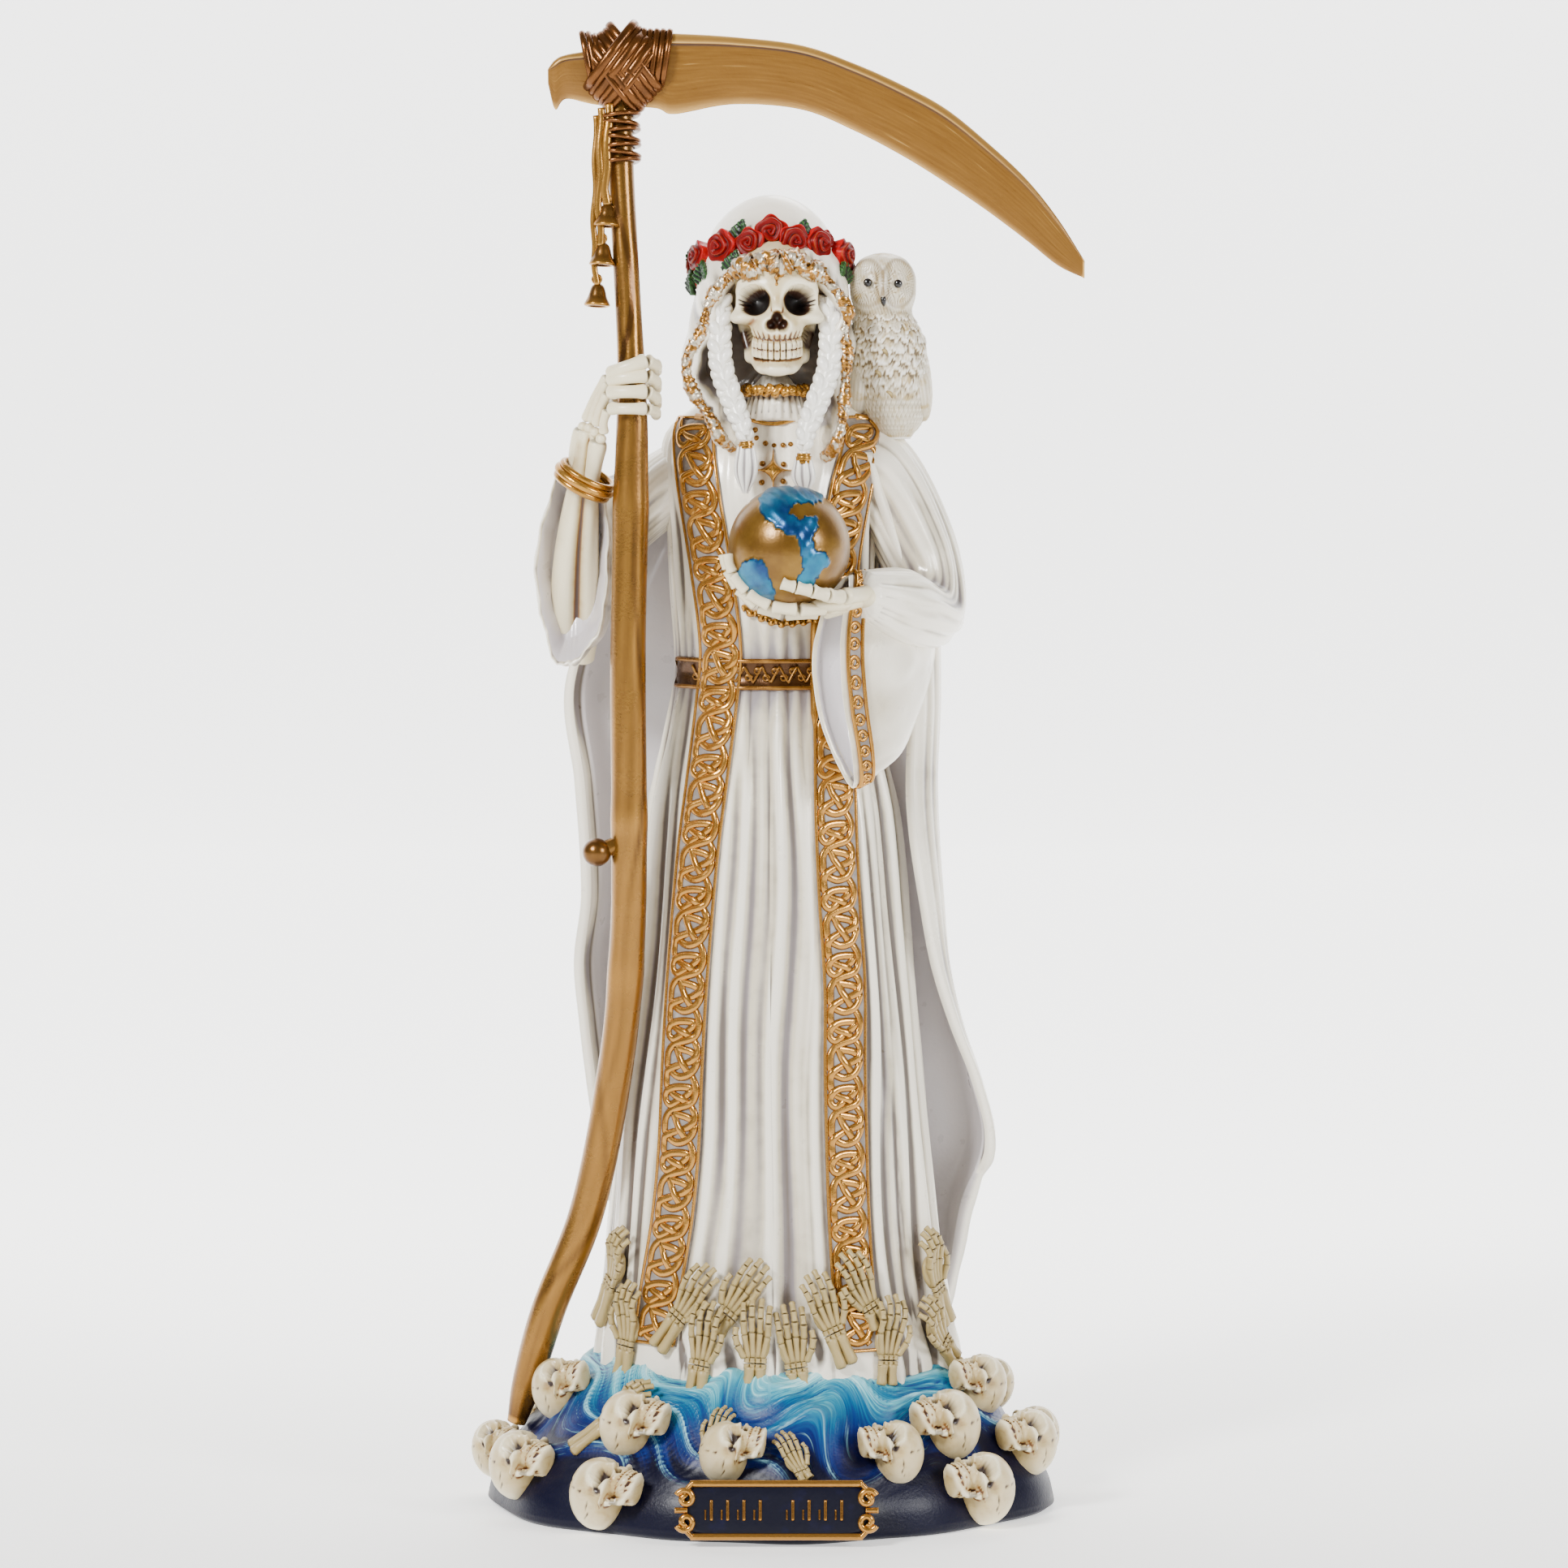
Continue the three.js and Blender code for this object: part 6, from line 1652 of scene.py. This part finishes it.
def makePlateTrim():
    forms = []
    half, high = plate["width"] / 2, plate["height"] / 2 - 0.9
    t = np.linspace(-1, 1, 60)[:, None]
    for way in (-1, 1):
        bar = np.hstack([t * (half - 4.2), 0 * t + way * high, 0 * t + 8.6])
        forms.append(flatBar(bar, 0.95, 0.75))
        for curl in (-1, 1):  # two scrolls meet at each end of the plate
            c = np.linspace(0, turn * 1.25, 60)
            r = 2.5 * (1 - 0.8 * c / c[-1])
            x = way * (half - 2.9 + 0 * c) + way * r * np.cos(c + 0.4)
            y = curl * (3.1 + r * np.sin(c + 0.4))
            forms.append(flatBar(np.stack([x, y, 0 * c + 9.0], -1), 0.85, 0.9))
            s = np.linspace(0, 1, 30)
            arm = np.stack([way * (half - 4.6 + 2.3 * np.sin(math.pi * s * 0.5)), curl * (high - 3.6 * s),
                            8.9 + 0 * s], -1)
            forms.append(flatBar(arm, 0.7, 0.75))
        s = np.linspace(0, 1, 20)
        forms.append(flatBar(np.stack([way * (half - 3.4 + 3.4 * s), 0 * s, 8.9 + 0 * s], -1), 0.8, 0.8))
    pitch = plate["width"] * 0.72 / 9
    for k in (0, 1, 2, 3, 5, 6, 7, 8):
        s = np.linspace(-1, 1, 12)
        x = (k - 4) * pitch
        forms.append(flatBar(np.stack([x + 0 * s, 2.7 * s, 8.55 + 0 * s], -1), 0.46, 0.35))
        forms.append(flatBar(np.stack([x + 1.6 + 0 * s, 1.3 * s - 1.2, 8.55 + 0 * s], -1), 0.3, 0.3))
    return forms


# flat navy acrylic: a quiet dark field behind the gilt strokes
navy = resinPaint("deep_navy_acrylic", dict(
    body="#030417", metallic=0, roughness=(0.25, 0.4), coat=0.08, specular=0.2, mottle=220, grain=1300,
    bump=0.03,
    layers=[("mottle", 0.55, 0.85, "#07092c", 0)],
))
addPiece("plate_field", makePlateField(), navy, rounds=(2, 6))
addPiece("plate_trim", makePlateTrim(), goldLine, rounds=(2, 6))

# the scythe: shaft, blade, lashing, bells and knob

# metallic gold over a brown ground, streaked by the brush: an old gilded stick, lighter on its ridges by a
# painted highlight, with dark dents and grooves that are partly the brown ground and partly painted shade
scytheGold = resinPaint("bronzed_gold_paint", dict(
    body="#4f300a", metallic=0.75, roughness=(0.2, 0.36), coat=0.15, mottle=170, grain=1200, bump=0.05,
    layers=[
        ("mottle", 0.42, 0.7, "#634012", 0),
        # painted highlight on the ridges
        ("nook", -0.05, -0.2, "#ac7c34", 0.04),
        # painted shade in the broad hollows
        ("fold", 0.03, 0.3, "#4a270a", 0.06),
        # brown ground and painted shade in the dents and grooves
        ("nook", 0.03, 0.12, "#2f1705", 0.03),
    ],
))
# pale gold brushed lengthwise on a smooth casting: fine streaks from the lashing to the tip, a painted
# highlight along the back and the bevel line, and painted shade in the hollows
bladeGold = resinPaint("brushed_blade_gold_paint", dict(
    body="#7a5118", metallic=0.45, roughness=(0.22, 0.4), coat=0.2, mottle=1.0, grain=1200, bump=0.05,
    brush="brush",
    layers=[
        ("mottle", 0.3, 0.7, "#8a6022", 0),
        ("mottle", 0.66, 0.74, "#a87e3c", 0),
        # painted highlight along the back and the bevel
        ("nook", -0.02, -0.1, "#d0a458", 0.04),
        # painted shade in the hollows
        ("nook", 0.012, 0.08, "#341a06", 0.03),
    ],
))
footPoint = basePoint(np.array(math.radians(-84)), np.array(0.1)) + [0, 0, 5]
shaftPoints = np.array([
    footPoint, (footPoint + [-50.5, -15, 84]) / 2 + [-1.5, 0, 0], [-50.5, -15, 84], [-42.6, -20, 124],
    [-39.3, -25, 158],
    [-38.6, -28, 192], [-38.8, -29.5, 235], [-37.9, -30, 280], grip["middle"], [-39, -28.5, 340],
    [-40.6, -26.5, 372],
    [-40.6, -25, 404],
])


shaft = dict(steps=320, sides=32, lower=4.8, upper=3.5)


def makeShaft():
    # A carved stick: radius · (1 + long grooves that wander + knots).
    path = through(shaftPoints, shaft["steps"])
    share = np.linspace(0, 1, shaft["steps"])
    taper = shaft["lower"] + (shaft["upper"] - shaft["lower"]) * smooth(share, 0.6, 0.8)
    taper = taper * value([[0, 0.55], [0.03, 0.85], [0.09, 1], [1, 1]], share)
    s, a = np.meshgrid(share, around(shaft["sides"]), indexing="ij")
    wander = 1.6 * np.sin(9 * s) + 0.7 * np.sin(31 * s + 2)
    grooves = (-0.06 * hump((a + wander) % turn, math.pi, 0.3)
               - 0.025 * hump((2 * a - wander) % turn, math.pi, 0.4))
    grooves = grooves + 0.007 * np.sin(5 * a + 20 * s) * np.sin(47 * s + 3 * a)
    rough = smooth(s, 0.4, 0.47) * smooth(s, 0.95, 0.85)
    knots = 0.05 * hump(s, 0.34, 0.018) + 0.05 * hump(s, 0.455, 0.012) + 0.04 * hump(s, 0.63, 0.014)
    radius = taper[:, None] * (1 + grooves * (0.35 + 0.65 * rough) + knots)
    along = unit(np.gradient(path, axis=0))
    across = unit(np.cross(along, [0.0, -1, 0]))
    out = np.cross(across, along)
    grid = path[:, None] + radius[..., None] * (
        np.cos(a)[..., None] * across[:, None] + np.sin(a)[..., None] * out[:, None]
    )
    return skin(grid)


blade = dict(middle=np.array([-40.6, -26, 394.0]), length=122, width=20, thickness=5)
bladeRows = [
    # place along, upper edge, lower edge, thickness, in shares of length, width and thickness
    [-0.161, 0.08, -0.12, 0.5], [-0.145, 0.2, -0.46, 0.9], [-0.12, 0.27, -0.32, 1], [-0.05, 0.35, -0.4, 1],
    [0.075, 0.56, -0.44, 1], [0.12, 0.555, -0.52, 1], [0.25, 0.51, -0.39, 1], [0.4, 0.4, -0.46, 0.95],
    [0.52, 0.15, -0.75, 0.9], [0.63, -0.15, -1.1, 0.85], [0.72, -0.45, -1.44, 0.8],
    [0.81, -0.89, -1.81, 0.75],
    [0.9, -1.4, -2.22, 0.65], [0.97, -1.93, -2.56, 0.5], [1.03, -2.5, -2.74, 0.25],
]


def makeBlade():
    # A section with a rounded back, a raised bevel line near it and a thin edge below,
    # skinned along the blade.
    rows = np.column_stack([np.arange(len(bladeRows)), bladeRows])
    t = np.linspace(0, len(bladeRows) - 1, 180)
    along, upper, lower, thick = between(rows, t).T
    section = np.array([
        [0, 0.0], [0.0, -0.45], [0.02, -0.75], [0.07, -0.95], [0.115, -1.0], [0.14, -0.82], [0.2, -0.78],
        [0.35, -0.7],
        [0.5, -0.6], [0.65, -0.5], [0.8, -0.38], [0.93, -0.26], [1.0, -0.1], [1.0, 0.1], [0.93, 0.26],
        [0.8, 0.38],
        [0.65, 0.5], [0.5, 0.6], [0.35, 0.7], [0.2, 0.78], [0.14, 0.82], [0.115, 1.0], [0.07, 0.95],
        [0.02, 0.75],
        [0.0, 0.45],
    ])
    fine = between(np.column_stack([np.arange(26), np.vstack([section, section[:1]])]),
                   np.linspace(0, 25, 60)[:-1])
    rise = upper[:, None] + (lower - upper)[:, None] * fine[None, :, 0]
    out = blade["thickness"] / 2 * thick[:, None] * fine[None, :, 1]
    x = blade["length"] * along[:, None] + 0 * rise
    brush = np.stack([9 * along[:, None] + 0 * rise, 26 * fine[None, :, 0] + 0 * rise, 3 * np.sign(out)],
                     -1).reshape(-1, 3)
    form = skin(np.stack([x, out, blade["width"] * rise], -1) + blade["middle"])
    return form, np.vstack([brush, brush[:1], brush[-1:]])


def strapLoop(middle, u, v, section, phase=0.0, wobble=0.0, count=48):
    # A strap round the joint: middle + u cos t + v sin t, a little uneven.
    t = around(count)
    u, v = np.array(u, float), np.array(v, float)
    uneven = 1 + wobble * np.sin(3 * t + phase) + 0.5 * wobble * np.sin(7 * t + 2 * phase)
    path = np.array(middle, float) + uneven[:, None] * (np.cos(t)[:, None] * u + np.sin(t)[:, None] * v)
    return swept(path, section, path - np.array(middle, float), 1.0, 0.0, "loop")


def makeLashing():
    flat = oval(10, 1.25, 0.75)
    thin = oval(8, 0.85, 0.6)
    forms = [ball([-39.6, -26, 396], [9.2, 4.6, 9.5], 40, 30)]
    for k in range(6):  # straps that cross the joint one way, then the other
        shift = -4.8 + 1.9 * k
        forms.append(strapLoop([-40 + shift * 0.72, -26, 395.6 + shift * 0.6], [6.8, 0, -8.8],
                               [0, -6.4 + 0.2 * k, 0],
                               flat if k % 2 else thin, k, 0.03))
    for k in range(6):
        shift = -4.4 + 1.8 * k
        forms.append(strapLoop([-40 + shift * 0.78, -26, 396.2 - shift * 0.62], [6.6, 0, 8.9],
                               [0, -6.9 + 0.2 * k, 0],
                               thin if k % 2 else flat, 2 + k, 0.035))
    for k in range(5):  # upright turns over the back of the blade, at its right
        x = -35.4 + 1.75 * k
        forms.append(strapLoop([x, -26, 396.6 + 0.5 * k], [1.2, 0, 9.4 - 0.5 * k], [0.3, -4.6, 0], thin,
                               3 * k, 0.03))
    for k in range(4):
        x = -49.5 + 1.7 * k
        forms.append(strapLoop([x, -26, 398 - 0.3 * k], [-1.5, 0, 7.2], [0, -5.2, 0], thin, k, 0.04))
    for k in range(7):  # the coil round the shaft
        forms.append(strapLoop([-40.7, -26.3, 370.6 + 2.05 * k], [4.6, 0, 0.5 * (-1) ** k], [0, -4.7, 0.6],
                               oval(10, 0.75, 1.1), k, 0.03))
    return forms


bell = dict(
    height=6.7,
    outer=[[0, 2.9], [0.3, 3.55], [1.2, 3.3], [2.6, 2.6], [4.4, 2.1], [5.6, 1.6], [6.3, 0.8], [6.7, 0.5]],
    inner=[[2.5, 0.2], [2.0, 1.6], [0.6, 2.2]],
    spots=[[-44.4, -29.9, 353], [-45.6, -29.9, 342.5], [-47, -29.6, 331.5]],
)


def bellForm():
    # A turned bell: radius by height, open below with a thick lip.
    fineH = np.linspace(0, bell["height"], 30)
    radius = value(np.array(bell["outer"]), fineH)
    inner = bell["inner"]
    t = around(28)
    rings = [[rad, up] for rad, up in inner[::-1]] + [[rad, up] for rad, up in zip(radius, fineH)]
    return skin(np.array([np.stack([rad * np.cos(t), rad * np.sin(t), up + 0 * t], -1) for rad, up in rings]))


def makeBells():
    turned = axes(np.array([0.05, 0.1, 1.0]), np.array([0, -1, 0.1]))[:, [0, 2, 1]] * [1, -1, 1]
    forms = [copies(bellForm(), np.array([turned] * 3), np.array(bell["spots"]))]
    paths = [
        [[-43.6, -29.4, 386], [-44.0, -30.6, 376], [-44.6, -30.6, 366], [-44.5, -30.4, 359]],
        [[-45.8, -29.0, 385], [-46.0, -30.2, 372], [-46.4, -30.4, 358], [-45.7, -30.3, 348]],
        [[-47.2, -28.4, 383], [-47.4, -29.4, 366], [-47.8, -29.8, 350], [-47.1, -30.0, 337.4]],
    ]
    for k, path in enumerate(paths):
        line = through(path, 60)
        line[:, 0] += 0.25 * np.sin(np.linspace(0, 14 + 3 * k, 60))
        forms.append(swept(line, oval(10, 1.15 - 0.15 * k, 0.6), np.array([0.0, -1, 0])))
    loops = np.array(bell["spots"]) + [0, 0, bell["height"] + 0.7]
    forms += [strapLoop(spot, [1.1, 0, 0], [0, 0, 1.1], oval(8, 0.42, 0.42), 0, 0, 30) for spot in loops]
    return forms


knob = dict(
    root=np.array([-39, -27.5, 186.5]), tip=np.array([-47.4, -29.5, 183.4]),
    stem=[2.9, 2.3, 2.7], radius=3.9,
)


def makeKnob():
    root, tip = knob["root"], knob["tip"]
    return [tube([root, (root + tip) / 2, tip], knob["stem"], 24, 24),
            ball(tip, [knob["radius"]] * 3, 48, 32)]


addPiece("shaft", [makeShaft()], scytheGold, "scythe", rounds=(2, 9))
bladeForm, bladeBrush = makeBlade()
bladePiece = addPiece("blade", [bladeForm], bladeGold, "scythe", rounds=(2, 8))
addBrush(bladePiece, bladeBrush)
addPiece("lashing", makeLashing(), strapGold, "scythe", rounds=(2, 8))
addPiece("bells", makeBells(), scytheGold, "scythe", rounds=(2, 8))
addPiece("knob", makeKnob(), scytheGold, "scythe", rounds=(2, 8))

# floor, light and camera

stageLook = dict(floorColour="#f4f3f0", world="#fbfaf8", worldStrength=0.22, floorGlow=0.12, wallGlow=2.6)
backdrop = dict(front=-6, back=3, side=6, top=8, bend=0.8, roughness=0.8)  # sizes in metres
bend = np.linspace(0, math.pi / 2, 40)
curve = np.column_stack([backdrop["back"] - backdrop["bend"] * (1 - np.sin(bend)),
                         backdrop["bend"] * (1 - np.cos(bend))])
sweep = np.vstack([[backdrop["front"], 0], curve, [backdrop["back"], backdrop["top"]]])
floorMesh = bpy.data.meshes.new("floor")
corners = [(x, y, z) for y, z in sweep for x in (-backdrop["side"], backdrop["side"])]
floorMesh.from_pydata(corners, [], [(2 * k, 2 * k + 1, 2 * k + 3, 2 * k + 2) for k in range(len(sweep) - 1)])
floorMesh.shade_smooth()
floor = bpy.data.objects.new("floor", floorMesh)
bpy.context.scene.collection.objects.link(floor)
# white backdrop paper that glows by its own emission, more and more towards the wall behind: painted light in
# place of lamps on a lit backdrop
floorPaint = bpy.data.materials.new("glowing_matt_paper_backdrop")
floorPaint.use_nodes = True
floorTree = floorPaint.node_tree
floorShader = floorTree.nodes["Principled BSDF"]
floorShader.inputs["Base Color"].default_value = linear(stageLook["floorColour"])
floorShader.inputs["Roughness"].default_value = backdrop["roughness"]
floorShader.inputs["Emission Color"].default_value = linear("#ffffff")
floorPlace = addNode(floorTree, "ShaderNodeTexCoord").outputs["Object"]
floorDepth = addNode(floorTree, "ShaderNodeSeparateXYZ", {"Vector": floorPlace}).outputs["Y"]
# painted light: the emission rises from the floor glow in front to the wall glow behind
glow = addNode(floorTree, "ShaderNodeMapRange", {
    "Value": floorDepth, "From Min": -0.35, "From Max": 0.6,
    "To Min": stageLook["floorGlow"], "To Max": stageLook["wallGlow"],
}, interpolation_type="SMOOTHSTEP")
floorTree.links.new(glow.outputs[0], floorShader.inputs["Emission Strength"])
floorMesh.materials.append(floorPaint)

world = bpy.data.worlds.new("soft_room")
bpy.context.scene.world = world
world.use_nodes = True
world.node_tree.nodes["Background"].inputs["Color"].default_value = linear(stageLook["world"])
world.node_tree.nodes["Background"].inputs["Strength"].default_value = stageLook["worldStrength"]


def addLight(name, place, aim, size, power):
    lamp = bpy.data.lights.new(name, "AREA")
    lamp.shape, lamp.size, lamp.energy = "DISK", size, power
    light = bpy.data.objects.new(name, lamp)
    light.location = place
    light.rotation_euler = (Vector(aim) - Vector(place)).to_track_quat("-Z", "Y").to_euler()
    bpy.context.scene.collection.objects.link(light)


lights = dict(
    key_left=dict(place=(-0.75, -1.0, 0.95), aim=(0, 0, 0.2), size=0.36, power=31),
    fill_right=dict(place=(0.95, -0.8, 0.6), aim=(0, 0, 0.2), size=0.4, power=13),
    back_top=dict(place=(0.2, 0.8, 1.1), aim=(0, 0, 0.25), size=0.5, power=4),
)
for name, light in lights.items():
    addLight(name, **light)
print("floor and lights placed")

cameraLook = dict(lens=130.4, place=(0.0036, -1.5712, 0.3099), aim=(0.0036, 0, 0.2))  # the photo's angle
camera = bpy.data.objects.new("camera", bpy.data.cameras.new("camera"))
camera.data.lens, camera.data.sensor_width = cameraLook["lens"], 36
camera.data.clip_start = 0.05
camera.location = cameraLook["place"]
camera.rotation_euler = (Vector(cameraLook["aim"]) - camera.location).to_track_quat("-Z", "Y").to_euler()
bpy.context.scene.collection.objects.link(camera)
bpy.context.scene.camera = camera
